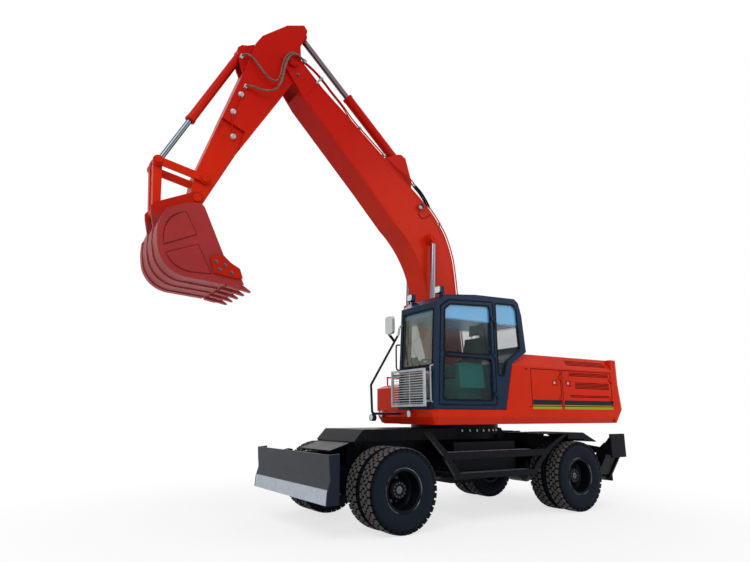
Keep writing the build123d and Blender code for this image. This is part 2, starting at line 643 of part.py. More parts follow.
foot_face = leg_pivot[0] + leg_pivot[1]
for y_sign, place in ((1, "left"), (-1, "right")):
    with BuildPart() as leg:
        for x_low, x_high in ((leg_x_low, leg_x_low + 40), (leg_x_high - 40, leg_x_high)):
            section([(y_sign * 735, 400), (y_sign * 790, 355), (y_sign * 860, 380),
                     (y_sign * 1090, 760), (y_sign * 1150, 960), (y_sign * 1090, 1010),
                     (y_sign * 960, 900), (y_sign * 750, 500)], x_low, x_high)
        section([(y_sign * 860, 480), (y_sign * 885, 465), (y_sign * 1110, 850),
                 (y_sign * 1085, 865)], leg_x_low + 20, leg_x_high - 20)
        for x_low, x_high in ((leg_x_low + 20, leg_x_low + 60), (leg_x_high - 60, leg_x_high - 20)):
            section([(y_sign * 1090, 820), (y_sign * (foot_face - 20), 800),
                     (y_sign * (foot_face - 20), 1120), (y_sign * 1090, 1000)], x_low, x_high)
        section([(y_sign * (foot_face - 30), 770), (y_sign * foot_face, 770),
                 (y_sign * foot_face, 1155), (y_sign * (foot_face - 30), 1155)],
                leg_ram_x - 190, leg_ram_x + 190)
        for x_low, x_high in ((leg_ram_x - 56, leg_ram_x - 36), (leg_ram_x + 36, leg_ram_x + 56)):
            section([(y_sign * 957, 642), (y_sign * 957, 880), (y_sign * 985, 905),
                     (y_sign * 1030, 905), (y_sign * 1095, 850)], x_low, x_high)
        with BuildSketch(across(leg_x_low - 1)) as pivot_hole:
            with Locations((y_sign * leg_pivot[0], leg_pivot[1])):
                Circle(45 + bearing_gap)
        extrude(pivot_hole.sketch, amount=leg_x_high - leg_x_low + 2, mode=Mode.SUBTRACT)
    save(leg, f"leg_{place}")
    base = Vector(swing_x + leg_ram_x, y_sign * leg_ram_base[0], leg_ram_base[1])
    run = Vector(0, y_sign * (leg_ram_eye[0] - leg_ram_base[0]), leg_ram_eye[1] - leg_ram_base[1])
    plane = Plane(origin=base, x_dir=run, z_dir=(1, 0, 0))
    with BuildPart() as leg_barrel:
        ram_barrel(plane, 58, 645, 32, 60, 118)
    save(leg_barrel, f"leg_ram_barrel_{place}")
    with BuildPart() as leg_rod:
        ram_rod(plane, run.length, 58, 32, 628, 52, 70)
    save(leg_rod, f"leg_ram_rod_{place}")

# Upper structure: everything that swings

# The deck's side wall stands above the seam and slants inward below it.
deck_seam = 1440.0
deck_slant = 60.0
# The deck ends at three distances forward: under the cab, in the middle and under the tool box.
cab_front = 1410.0
middle_front = 1200.0
box_front = 690.0
middle_right, middle_left = -440.0, 320.0
deck_corner = 50.0
foot_ear_y = boom_half + 20
foot_ear_thick = 42.0
ram_ear_near, ram_ear_far = 74.0, 88.0
cab_pad = 90.0
deck_lamp_radius = 52.0

with BuildPart() as deck:
    with BuildSketch(level(deck_bottom)) as plan:
        with BuildLine():
            Polyline((tail_join, -deck_half), (box_front - deck_corner, -deck_half),
                     (box_front, -deck_half + deck_corner), (box_front, middle_right),
                     (middle_front, middle_right), (middle_front, middle_left),
                     (cab_front, middle_left), (cab_front, deck_half - deck_corner),
                     (cab_front - deck_corner, deck_half), (tail_join, deck_half), close=True)
        make_face()
    extrude(plan.sketch, amount=deck_top - deck_bottom)
    rim_edges = deck.edges().group_by(Axis.Z)[0].filter_by(
        lambda edge: edge.center().X > swing_x + tail_join + 1)
    chamfer(rim_edges, length=deck_slant, length2=deck_seam - deck_bottom,
            reference=deck.faces().sort_by(Axis.Z)[0])
    for y_sign in (1, -1):
        y_near, y_far = sorted((y_sign * foot_ear_y, y_sign * (foot_ear_y + foot_ear_thick)))
        slab([(-430, deck_top - 1), (430, deck_top - 1), (300, 1960), (240, 2060), (100, 2110),
              (-60, 2060), (-160, 1930)], y_near, y_far)
        y_near, y_far = sorted((y_sign * (boom_ram_y - ram_ear_near), y_sign * (boom_ram_y + ram_ear_near)))
        block((boom_ram_base[0] - 100, y_near, deck_top - 40), (boom_ram_base[0] + 110, y_far, deck_top + 1),
              mode=Mode.SUBTRACT)
        for y_inner, y_outer in ((boom_ram_y - ram_ear_far, boom_ram_y - ram_ear_near),
                                 (boom_ram_y + ram_ear_near, boom_ram_y + ram_ear_far)):
            y_near, y_far = sorted((y_sign * y_inner, y_sign * y_outer))
            slab([(boom_ram_base[0] - 130, deck_top - 1), (boom_ram_base[0] + 120, deck_top - 1),
                  (boom_ram_base[0] + 70, boom_ram_base[1] + 40), (boom_ram_base[0], boom_ram_base[1] + 70),
                  (boom_ram_base[0] - 70, boom_ram_base[1] + 40)], y_near, y_far)
        y_near, y_far = sorted((y_sign * (boom_ram_y - 80), y_sign * (boom_ram_y + 80)))
        cross_pin(boom_ram_base, pin_radius, y_near, y_far)
    cross_pin(boom_foot, 50, -foot_ear_y - 20, foot_ear_y + 20)
    for x in (170, 1270):
        for y in (cab_right + 50, deck_half - 130):
            block((x, y, deck_top - 1), (x + cab_pad, y + cab_pad, cab_floor - seat_gap))
    for x, y in ((cab_front, 760), (middle_front, -290)):
        with BuildSketch(across(x - 10)) as lamp:
            with Locations((y, deck_seam + 45)):
                Circle(deck_lamp_radius)
        extrude(lamp.sketch, amount=60)
save(deck, "deck")

# The counterweight's tail at four heights, as (height, distance of its corners behind the axis).
weight_half = 1290.0
weight_bow = 150.0
weight_levels = ((1337.0, -2600.0), (1561.0, -2790.0), (1979.0, -2735.0), (hood_top, -2730.0))


def weight_plan(z, corner_x):
    """Plan of the counterweight at one height: straight sides, round corners and a bowed tail."""
    turn = min(140.0, tail_join - corner_x - 10.0)
    with BuildSketch(level(z)) as plan:
        with BuildLine():
            Line((tail_join, -weight_half), (tail_join, weight_half))
            Line((tail_join, weight_half), (corner_x + turn, weight_half))
            ThreePointArc((corner_x + turn, weight_half), (corner_x + turn * 0.3, weight_half - 48),
                          (corner_x, weight_half - 160))
            ThreePointArc((corner_x, weight_half - 160), (corner_x - weight_bow, 0),
                          (corner_x, 160 - weight_half))
            ThreePointArc((corner_x, 160 - weight_half), (corner_x + turn * 0.3, 48 - weight_half),
                          (corner_x + turn, -weight_half))
            Line((corner_x + turn, -weight_half), (tail_join, -weight_half))
        make_face()
    return plan.sketch


with BuildPart() as counterweight:
    loft([weight_plan(z, corner_x) for z, corner_x in weight_levels], ruled=True)
save(counterweight, "counterweight")

door_low, door_high = 1600.0, 2170.0
door_a = (-1150.0, -480.0)
door_b = (-2430.0, -1190.0)
door_gap = 7.0
door_hinges = (1720.0, 2050.0)
door_wall = 28.0
lid_hinges = (-350.0, 350.0)
lid = ((-2250.0, -520.0), (-1250.0, 520.0))
hood_side = 1300.0
# The cover's left front edge runs along the back of the cab, a gap behind it.
cover_left = 460.0
cover_nose = ((78.0, deck_top), (-93.0, 2216.0), (-402.0, hood_top))
# Rows of slots in the radiator doors, as (bottom, top, front end), and those in the bevel above.
grille_rear = -2370.0
grilles = ((2080.0, 2155.0, -1360.0), (1880.0, 2005.0, -1500.0), (1740.0, 1805.0, -1360.0))
slot_pitch, slot_height = 22.0, 12.0
bevel_slots = (2262.0, 2284.0, 2306.0, 2328.0)
latch_places = {"pump_door": -1010.0, "radiator_door": -1330.0}
latch_z = 1960.0


def cover_form(inset, x_rear):
    """The engine cover's form, or its hollow when it is drawn in by a wall's thickness."""
    flank, top_flank = hood_side - inset, hood_top_half - inset / 2
    outline = [(-flank, deck_top + seat_gap - inset / 30), (-flank, hood_shoulder - inset / 3),
               (-top_flank, hood_top - inset), (top_flank, hood_top - inset),
               (flank, hood_shoulder - inset / 3), (flank, deck_top + seat_gap - inset / 30)]
    edge = [(x - 1.1 * inset, z) for x, z in cover_nose]
    with BuildPart() as form:
        section(outline, x_rear, 200)
        slab([(edge[0][0], 1500), edge[0], edge[1], edge[2], (edge[2][0] - 2, hood_top + 1),
              (201, hood_top + 1), (201, 1500)], -hood_side - 1, hood_side + 1, mode=Mode.SUBTRACT)
        block((hood_front - inset, -hood_side - 1, 1500), (201, cover_left + inset, hood_top + 1),
              mode=Mode.SUBTRACT)
    return form.part


with BuildPart() as engine_cover:
    add(cover_form(0, tail_join + seat_gap))
    add(cover_form(hood_wall, tail_join), mode=Mode.SUBTRACT)
    for x_low, x_high in (door_a, door_b):
        for y_near, y_far in ((-hood_side - 1, -hood_side + 40), (hood_side - 40, hood_side + 1)):
            block((x_low, y_near, door_low), (x_high, y_far, door_high), mode=Mode.SUBTRACT)
    block((lid[0][0], lid[0][1], hood_top - 31), (lid[1][0], lid[1][1], hood_top + 1), mode=Mode.SUBTRACT)
    for y_sign in (1, -1):
        for z in bevel_slots:
            y_near, y_far = sorted((y_sign * (hood_top_half - 5), y_sign * (hood_side + 1)))
            block((grille_rear, y_near, z), (grilles[0][2], y_far, z + slot_height), mode=Mode.SUBTRACT)
        for x_hinge in (door_a[0], door_b[0]):
            for z in door_hinges:
                upright_hinge_lugs(x_hinge + door_gap / 2, y_sign * hood_side, y_sign, -1, z)
    for y in lid_hinges:
        flat_hinge_lugs(lid[1][0] - door_gap / 2, hood_top, 1, y)
save(engine_cover, "engine_cover")

for y_sign, place in ((1, "left"), (-1, "right")):
    for (x_low, x_high), kind in ((door_a, "pump_door"), (door_b, "radiator_door")):
        with BuildPart() as door:
            y_near, y_far = sorted((y_sign * (hood_side - door_wall), y_sign * hood_side))
            block((x_low + door_gap, y_near, door_low + door_gap),
                  (x_high - door_gap, y_far, door_high - door_gap))
            if kind == "radiator_door":
                for bottom, top, front in grilles:
                    for row in range(int((top - bottom) // slot_pitch)):
                        z = bottom + slot_pitch * row + 6
                        block((grille_rear, y_near - 1, z), (front, y_far + 1, z + slot_height),
                              mode=Mode.SUBTRACT)
            x_latch = latch_places[kind]
            y_near, y_far = sorted((y_sign * (hood_side - 12), y_sign * (hood_side + 1)))
            block((x_latch - 60, y_near, latch_z - 45), (x_latch + 60, y_far, latch_z + 45), mode=Mode.SUBTRACT)
            y_near, y_far = sorted((y_sign * (hood_side - 13), y_sign * (hood_side - 2)))
            block((x_latch - 40, y_near, latch_z - 4), (x_latch + 40, y_far, latch_z + 24))
            for z in door_hinges:
                upright_hinge_sleeve(x_low + door_gap / 2, y_sign * hood_side, y_sign, 1, z)
        save(door, f"{kind}_{place}")

with BuildPart() as hood_lid:
    block((lid[0][0] + door_gap, lid[0][1] + door_gap, hood_top - 26),
          (lid[1][0] - door_gap, lid[1][1] - door_gap, hood_top))
    for y in lid_hinges:
        flat_hinge_sleeve(lid[1][0] - door_gap / 2, hood_top, -1, y)
save(hood_lid, "hood_lid")

with BuildPart() as engine:
    block((-2250, -430, deck_top + seat_gap), (-1150, 430, 2260))
save(engine, "engine_block")

tank_front = 150.0
tank_edge = 40.0
box_top = 1985.0
with BuildPart() as tank_box:
    block((hood_front + 40, -deck_half, deck_top + seat_gap), (tank_front, -470, hood_top - 20))
    fillet(tank_box.edges().filter_by(Axis.Z), tank_edge)
    upright_pin(-150, -1120, 70, hood_top - 21, hood_top + 25)
save(tank_box, "fuel_and_oil_tanks")

with BuildPart() as tool_box:
    slab([(tank_front + 10, deck_top + seat_gap), (box_front, deck_top + seat_gap), (box_front, 1928),
          (538, box_top), (tank_front + 10, box_top)], -deck_half + 10, -560)
    for x in (tank_front + 60, 500):
        for y in (-deck_half + 60, -610):
            upright_pin(x, y, 14, box_top - 1, box_top + 160)
    for y in (-deck_half + 60, -610):
        with BuildSketch(across(tank_front + 46)) as rail:
            with Locations((y, box_top + 150)):
                Circle(14)
        extrude(rail.sketch, amount=500 - tank_front - 32)
save(tool_box, "tool_box")

# Cab

cab_left = deck_half
cab_middle = (cab_right + cab_left) / 2
cab_outline = [(90, cab_floor), (-80, 2222), (-405, 2417), (-348, 2986), (-291, 3179), (-206, 3237),
               (604, 3215), (1161, 3160), (1336, 3040), (1420, cab_floor)]
cab_inner = [(150, cab_floor + 45), (-30, 2246), (-352, 2440), (-302, 2980), (-255, 3146),
             (-190, 3190), (600, 3170), (1140, 3116), (1290, 3010), (1372, cab_floor + 45)]
door_outline = [(262, 1608), (262, 3135), (1110, 3085), (1262, 2985), (1335, 1608)]
door_window_low = [(325, 1668), (325, 2275), (1232, 2275), (1262, 1668)]
door_window_high = [(325, 2325), (325, 3072), (1085, 3030), (1195, 2950), (1230, 2325)]
right_window = [(300, 2000), (-20, 2300), (-270, 2450), (-235, 3060), (1090, 3030), (1225, 2900),
                (1290, 2000)]
rear_window = [(210, 2030), (90, 2030), (20, 2262), (-275, 2448), (-240, 3060), (-180, 3140), (210, 3125)]
window_corner = 45.0
# Front windows, as (bottom, top); the wall they stand in leans back.
front_windows = ((1680.0, 2090.0), (2140.0, 2950.0))
back_window = (2500.0, 3000.0)
front_side, back_side = 65.0, 100.0
glass_thick = 6.0
glass_depth = 20.0

cab_door_hinges = (1760.0, 2323.0, 2880.0)


def glazed(points, y_low, y_high, inset=0.0, mode=Mode.ADD):
    """A window's round-cornered outline in the side view, extruded between two values of y."""
    with BuildSketch(side((y_low + y_high) / 2)) as outline:
        with BuildLine():
            Polyline(*points, close=True)
        make_face()
        fillet(outline.vertices(), window_corner)
        if inset:
            offset(amount=-inset, kind=Kind.INTERSECTION, mode=Mode.REPLACE)
    extrude(outline.sketch, amount=(y_high - y_low) / 2, both=True, mode=mode)


with BuildPart() as cab:
    slab(cab_outline, cab_right, cab_left)
    slab(cab_inner, cab_right + cab_wall, cab_left - cab_wall, mode=Mode.SUBTRACT)
    slab(door_outline, cab_left - 60, cab_left + 1, mode=Mode.SUBTRACT)
    glazed(rear_window, cab_left - 60, cab_left + 1, mode=Mode.SUBTRACT)
    glazed(right_window, cab_right - 1, cab_right + 60, mode=Mode.SUBTRACT)
    for bottom, top in front_windows:
        block((1200, cab_right + front_side, bottom), (1500, cab_left - front_side, top),
              mode=Mode.SUBTRACT)
    block((-500, cab_right + back_side, back_window[0]), (-200, cab_left - back_side, back_window[1]),
          mode=Mode.SUBTRACT)
    for z in cab_door_hinges:
        upright_hinge_lugs(door_outline[0][0] + door_gap / 2, cab_left, 1, -1, z)
    # Steering column, with its wheel above.
    slab([(1090, cab_floor + 44), (1230, cab_floor + 44), (1120, 2198), (1070, 2182)],
         cab_middle - 45, cab_middle + 45)
    with Locations(Plane(origin=(swing_x + 1085, cab_middle, 2195), x_dir=(0, 1, 0),
                         z_dir=(-0.32, 0, 0.95))):
        Torus(175, 15)
        Box(340, 34, 12)
        Cylinder(38, 40)
    # Work lamps on the roof's front corners.
    for y in (cab_right + 60, cab_left - 110):
        block((1130, y - 12, 3120), (1190, y + 12, 3225))
        block((1150, y - 62, 3190), (1225, y + 62, 3290))
save(cab, "cab")

with BuildPart() as cab_door:
    slab([(x + door_gap if x < 300 else x - door_gap - 1, z + door_gap if z < 2000 else z - door_gap - 1)
          for x, z in door_outline], cab_left - 44, cab_left)
    for window in (door_window_low, door_window_high):
        glazed(window, cab_left - 50, cab_left + 1, mode=Mode.SUBTRACT)
    for z in cab_door_hinges:
        upright_hinge_sleeve(door_outline[0][0] + door_gap / 2, cab_left, 1, 1, z)
save(cab_door, "cab_door")

with BuildPart() as door_glass:
    for window in (door_window_low, door_window_high):
        glazed(window, cab_left - glass_depth - glass_thick, cab_left - glass_depth, inset=seat_gap)
save(door_glass, "door_glass")


def leaning_pane(foot, head, bottom, top, y_low, y_high, inward):
    """A pane that fills a leaning wall's opening, its face glass_depth behind the wall's outline."""
    lean = (head[0] - foot[0]) / (head[1] - foot[1])
    low_x = foot[0] + lean * (bottom - foot[1]) + inward * glass_depth
    high_x = foot[0] + lean * (top - foot[1]) + inward * glass_depth
    slab([(low_x, bottom + seat_gap), (high_x, top - seat_gap),
          (high_x + inward * glass_thick, top - seat_gap),
          (low_x + inward * glass_thick, bottom + seat_gap)], y_low + seat_gap, y_high - seat_gap)


with BuildPart() as cab_glass:
    glazed(rear_window, cab_left - glass_depth - glass_thick, cab_left - glass_depth, inset=seat_gap)
    glazed(right_window, cab_right + glass_depth, cab_right + glass_depth + glass_thick, inset=seat_gap)
    for bottom, top in front_windows:
        leaning_pane(cab_outline[9], cab_outline[8], bottom, top, cab_right + front_side,
                     cab_left - front_side, -1)
    leaning_pane(cab_outline[2], cab_outline[3], *back_window, cab_right + back_side,
                 cab_left - back_side, 1)
save(cab_glass, "cab_glass")

seat_half = 235.0
with BuildPart() as seat:
    block((300, cab_middle - seat_half, 1990), (800, cab_middle + seat_half, 2100))
    fillet(seat.edges().filter_by(Axis.Z), 60)
    slab([(300, 2095), (200, 2640), (300, 2660), (430, 2095)], cab_middle - 215, cab_middle + 215)
    slab([(215, 2660), (200, 2850), (270, 2860), (290, 2640)], cab_middle - 130, cab_middle + 130)
save(seat, "seat")

with BuildPart() as console:
    block((330, cab_middle - 185, cab_floor + 45 + seat_gap), (780, cab_middle + 185, 1990 - seat_gap))
    for y_sign in (1, -1):
        y_near, y_far = sorted((cab_middle + y_sign * 180, cab_middle + y_sign * 240))
        block((400, y_near, 1860), (560, y_far, 1920))
        y_near, y_far = sorted((cab_middle + y_sign * (seat_half + 4), cab_middle + y_sign * 330))
        slab([(380, 1850), (860, 1850), (880, 2180), (800, 2215), (420, 2200)], y_near, y_far)
save(console, "seat_base")

guard_x = 1525.0
guard_right, guard_left = 430.0, 1240.0
guard_low, guard_high = 1580.0, 2095.0
guard_bar = 32.0
guard_rows = 13
with BuildPart() as guard:
    for y in (guard_right, guard_left - guard_bar):
        block((guard_x - 15, y, guard_low), (guard_x + 15, y + guard_bar, guard_high))
    for z in (guard_low, guard_high - guard_bar):
        block((guard_x - 15, guard_right, z), (guard_x + 15, guard_left, z + guard_bar))
    pitch = (guard_high - guard_low - guard_bar) / (guard_rows + 1)
    for row in range(1, guard_rows + 1):
        z = guard_low + guard_bar / 2 + pitch * row
        block((guard_x - 5, guard_right + 10, z - 5), (guard_x + 5, guard_left - 10, z + 5))
    block((guard_x - 12, cab_middle - 8, guard_low + 10), (guard_x - 4, cab_middle + 8, guard_high - 10))
    for y in (guard_right + 15, guard_left - guard_bar - 5):
        for z in (guard_low + 60, guard_high - 75):
            share = (z - cab_floor) / (cab_outline[8][1] - cab_floor)
            wall_x = cab_outline[9][0] + share * (cab_outline[8][0] - cab_outline[9][0])
            block((wall_x + seat_gap, y, z), (guard_x - 10, y + 20, z + 30))
save(guard, "front_guard")

# The mirror's rail: a bent tube from the deck's front, out ahead of the guard and back to the
# cab's right front pillar, clear of the rams when the boom is down.
rail_y = 470.0
rail_route = ((cab_front + seat_gap, 1485), (1895, 1485), (1915, 1890), (1500, 2540), (1425, 2660),
              (1405, 2785), (1351.7, 2785))
rail_bend = 40.0
mirror_tube = 17.0
mirror_x = 1600.0
with BuildPart() as mirror_rail:
    with BuildLine() as route:
        FilletPolyline(*[(swing_x + x, rail_y, z) for x, z in rail_route], radius=rail_bend)
    with BuildSketch(Plane(origin=route.line @ 0, z_dir=route.line % 0)):
        Circle(mirror_tube)
    sweep(path=route.line)
    with BuildSketch(across(mirror_x)) as mirror:
        with Locations((rail_y + 62, 2770)):
            RectangleRounded(190, 260, 40)
    extrude(mirror.sketch, amount=45)
    slab([(1480, 2545), (1500, 2515), (mirror_x + 40, 2660), (mirror_x + 10, 2690)], rail_y - 9, rail_y + 9)
    with BuildSketch(across(1850)) as lamp:
        with Locations((rail_y, 1430)):
            Circle(48)
    extrude(lamp.sketch, amount=60)
    block((1860, rail_y - 10, 1450), (1890, rail_y + 10, 1490))
save(mirror_rail, "mirror_rail")

# Working arm

with BuildPart() as boom:
    with BuildSketch(side(0)) as outline:
        with BuildLine():
            Polyline((-45, 1985), (70, 3450), (129, 4009), (195, 4247))
            ThreePointArc((195, 4247), (481, 4758), (1000, 5235))
            Line((1000, 5235), (2037, 6047))
            Line((2037, 6047), (2677, 6532))
            Line((2677, 6532), (3072, 6900))
            ThreePointArc((3072, 6900), (3355, 6910), (3350, 6720))
            Line((3350, 6720), (2987, 6243))
            Line((2987, 6243), (1850, 5081))
            Line((1850, 5081), (1320, 4518))
            ThreePointArc((1320, 4518), (985, 4160), (776, 3758))
            Line((776, 3758), (246, 1915))
            ThreePointArc((246, 1915), (80, 1802), (-45, 1985))
        make_face()
    extrude(outline.sketch, amount=boom_half, both=True)
    cross_pin(elbow, 455, -boom_half + fork_wall, boom_half - fork_wall, mode=Mode.SUBTRACT)
    cross_pin(elbow, 60, -boom_half - 30, boom_half + 30)
    cross_pin(boom_foot, 120, -foot_ear_y + 2, foot_ear_y - 2)
    cross_pin(boom_foot, 50 + bearing_gap, -400, 400, mode=Mode.SUBTRACT)
    for y_sign in (1, -1):
        y_near, y_far = sorted((y_sign * (boom_half - 5), y_sign * (boom_ram_y - 62.5)))
        cross_pin(boom_ram_eye, 95, y_near, y_far)
        y_near, y_far = sorted((y_sign * 84, y_sign * 118))
        slab([(900, 5120), (1560, 5640), (1180, 5830), (1090, 5850), (1000, 5800), (880, 5400)],
             y_near, y_far)
    cross_pin(arm_ram_base, pin_radius, -110, 110)
save(boom, "boom")

boom_ram = ram_length(boom_ram_base, boom_ram_eye)
with BuildPart() as boom_barrels:
    for y_sign in (1, -1):
        plane = ram_plane(boom_ram_base, boom_ram_eye, y_sign * boom_ram_y)
        ram_barrel(plane, 72, 1700, 42, 85, 148)
save(boom_barrels, "boom_ram_barrels")
with BuildPart() as boom_rods:
    for y_sign in (1, -1):
        plane = ram_plane(boom_ram_base, boom_ram_eye, y_sign * boom_ram_y)
        ram_rod(plane, boom_ram, 72, 42, 1300, 85, 96, cap=14)
save(boom_rods, "boom_ram_rods")

arm_ram = ram_length(arm_ram_base, arm_ram_eye)
with BuildPart() as arm_barrel:
    ram_barrel(ram_plane(arm_ram_base, arm_ram_eye), 80, 1400, 48, 90, 164)
save(arm_barrel, "arm_ram_barrel")
with BuildPart() as arm_rod:
    ram_rod(ram_plane(arm_ram_base, arm_ram_eye), arm_ram, 80, 48, 1545, 85, 120, cap=9.5)
save(arm_rod, "arm_ram_rod")

with BuildPart() as stick:
    with BuildSketch(side(0)) as outline:
        with BuildLine():
            Polyline((3028, 7576), (2966, 7502), (2979, 7422), (3076, 7162), (3050, 6800),
                     (3150, 6560), (3384, 6128), (4000, 5076), (4407, 4250))
            ThreePointArc((4407, 4250), (4490, 4190), (4590, 4270))
            Polyline((4590, 4270), (4540, 4662), (3951, 6445), (3800, 6960), (3709, 7113),
                     (3314, 7458), (3028, 7576))
        make_face()
    extrude(outline.sketch, amount=stick_half, both=True)
    for y_sign in (1, -1):
        y_near, y_far = sorted((y_sign * tip_half, y_sign * (stick_half + 1)))
        slab([(3900, 5450), (4300, 5600), (4900, 5600), (4900, 3900), (4200, 3900)], y_near, y_far,
             mode=Mode.SUBTRACT)
    slab([(2800, 7300), (3120, 7150), (3200, 7700), (2800, 7700)], -70, 70, mode=Mode.SUBTRACT)
    cross_pin(elbow, 60 + bearing_gap, -300, 300, mode=Mode.SUBTRACT)
    cross_pin(idler_pin, 42, -tip_half - 50, tip_half + 50)
    cross_pin(bucket_pin, 45, -tip_half - 50, tip_half + 50)
    for y_near, y_far in ((-100, -70), (70, 100)):
        slab([(3860, 6600), (3945, 6440), (4000, 6560), (4040, 6730), (4045, 6850), (3990, 6905),
              (3900, 6930), (3780, 6995), (3750, 6900)], y_near, y_far)
    cross_pin(bucket_ram_base, pin_radius, -90, 90)
save(stick, "stick")

bucket_ram = ram_length(bucket_ram_base, link_pin)
with BuildPart() as bucket_barrel:
    ram_barrel(ram_plane(bucket_ram_base, link_pin), 66, 1500, 40, 80, 136)
save(bucket_barrel, "bucket_ram_barrel")
with BuildPart() as bucket_rod:
    ram_rod(ram_plane(bucket_ram_base, link_pin), bucket_ram, 66, 40, 1500, 72, 100, cap=11.5)
save(bucket_rod, "bucket_ram_rod")

with BuildPart() as idlers:
    for y_sign in (1, -1):
        y_near, y_far = sorted((y_sign * (tip_half + 5), y_sign * (tip_half + 40)))
        with BuildSketch(side((y_near + y_far) / 2)) as link:
            with BuildLine():
                Polyline((idler_pin[0] - 10, idler_pin[1] + 52), (link_pin[0] - 10, link_pin[1] + 52),
                         (link_pin[0] + 10, link_pin[1] - 52), (idler_pin[0] + 10, idler_pin[1] - 52),
                         close=True)
            make_face()
            with Locations(idler_pin):
                Circle(74)
            with Locations(link_pin):
                Circle(70)
            with Locations(idler_pin):
                Circle(42 + bearing_gap, mode=Mode.SUBTRACT)
        extrude(link.sketch, amount=(y_far - y_near) / 2, both=True)
        y_near, y_far = sorted((y_sign * 62, y_sign * (tip_half + 60)))
        cross_pin(link_pin, 38, y_near, y_far)
save(idlers, "idler_links")

with BuildPart() as bucket_link:
    for y_sign in (1, -1):
        y_near, y_far = sorted((y_sign * 66, y_sign * (tip_half - 2)))
        with BuildSketch(side((y_near + y_far) / 2)) as link:
            with BuildLine():
                Polyline((link_pin[0] - 58, link_pin[1]), (link_pin[0] + 58, link_pin[1]),
                         (ear_pin[0] + 50, ear_pin[1]), (ear_pin[0] - 50, ear_pin[1]), close=True)
            make_face()
            with Locations(link_pin):
                Circle(64)
            with Locations(ear_pin):
                Circle(51)
            with Locations(link_pin):
                Circle(38 + bearing_gap, mode=Mode.SUBTRACT)
        extrude(link.sketch, amount=(y_far - y_near) / 2, both=True)
    cross_pin(ear_pin, 50, -tip_half - 4.5, tip_half + 4.5)
save(bucket_link, "bucket_link")

with BuildPart() as bucket:
    with BuildSketch(side(0)) as shell:
        with BuildLine():
            Polyline((4470, 4060), (4520, 4110), (4700, 4080), (4940, 3960))
            ThreePointArc((4940, 3960), (5010, 3760), (4995, 3480))
            ThreePointArc((4995, 3480), (4860, 3230), (4600, 3130))
            Polyline((4600, 3130), (4040, 3090), (3900, 3110), (3990, 3300), (4187, 3461), (4470, 4060))
        make_face()
    extrude(shell.sketch, amount=bucket_half, both=True)
    with BuildSketch(side(0)) as hollow:
        with BuildLine():
            Polyline((4400, 4060), (4530, 4080), (4690, 4052), (4915, 3940))
            ThreePointArc((4915, 3940), (4982, 3760), (4966, 3490))
            ThreePointArc((4966, 3490), (4840, 3255), (4595, 3160))
            Polyline((4595, 3160), (4040, 3120), (3700, 3110), (3900, 3500), (4400, 4060))
        make_face()
    extrude(hollow.sketch, amount=bucket_half - 28, both=True, mode=Mode.SUBTRACT)
    for y_near, y_far in ((-tip_half - 5 - ear_thick, -tip_half - 5), (tip_half + 5, tip_half + 5 + ear_thick)):
        with BuildSketch(side((y_near + y_far) / 2)) as ear:
            with BuildLine():
                Polyline((4420, 4265), (4460, 4373), (4539, 4379), (5030, 4131), (5072, 4075),
                         (5065, 4000), (5010, 3760), (4940, 3950), (4700, 4075), (4490, 4100),
                         close=True)
            make_face()
            with Locations(bucket_pin):
                Circle(88)
                Circle(45 + bearing_gap, mode=Mode.SUBTRACT)
        extrude(ear.sketch, amount=(y_far - y_near) / 2, both=True)
    for number in range(tooth_count):
        y = (number - (tooth_count - 1) / 2) * (bucket_half * 2 - 2 * tooth_half) / (tooth_count - 1)
        slab([(4130, 3135), (4120, 3070), (3960, 3042), (3925, 3112), (3990, 3140)],
             y - tooth_half, y + tooth_half)
        slab([(3975, 3118), (3965, 3052), (3797, 3023), (3800, 3034), (3900, 3098)],
             y - tooth_half + 10, y + tooth_half - 10)
    for number in range(strap_count):
        y = (number - (strap_count - 1) / 2) * (bucket_half * 2 - strap_width) / (strap_count - 1)
        with BuildSketch(side(y)) as strap:
            with BuildLine():
                ThreePointArc((5024, 3760), (5026, 3618), (5009, 3477))
                ThreePointArc((5009, 3477), (4869, 3219), (4603, 3116))
                Polyline((4603, 3116), (4150, 3083), (4150, 3110), (4600, 3140))
                ThreePointArc((4600, 3140), (4852, 3238), (4986, 3483))
                ThreePointArc((4986, 3483), (5003, 3618), (5001, 3760))
                Line((5001, 3760), (5024, 3760))
            make_face()
        extrude(strap.sketch, amount=strap_width / 2, both=True)
    for y_sign in (1, -1):
        y_near, y_far = sorted((y_sign * (bucket_half - 1), y_sign * (bucket_half + cutter_thick)))
        slab([(4246, 3461), (4168, 3409), (3973, 3309), (3928, 3187), (4016, 3175), (4304, 3213),
              (4365, 3405)], y_near, y_far)
        y_near, y_far = sorted((y_sign * (bucket_half - 1), y_sign * (bucket_half + panel_raise)))
        with BuildSketch(side((y_near + y_far) / 2)) as panels:
            with BuildLine():
                Line((4705, 3957), (4554, 3686))
                Line((4554, 3686), (4935, 3500))
                ThreePointArc((4935, 3500), (4915, 3760), (4705, 3957))
            make_face()
            with BuildLine():
                Line((4526, 3553), (4338, 3201))
                Line((4338, 3201), (4600, 3195))
                ThreePointArc((4600, 3195), (4780, 3255), (4900, 3390))
                Line((4900, 3390), (4526, 3553))
            make_face()
        extrude(panels.sketch, amount=(y_far - y_near) / 2, both=True)
save(bucket, "bucket")
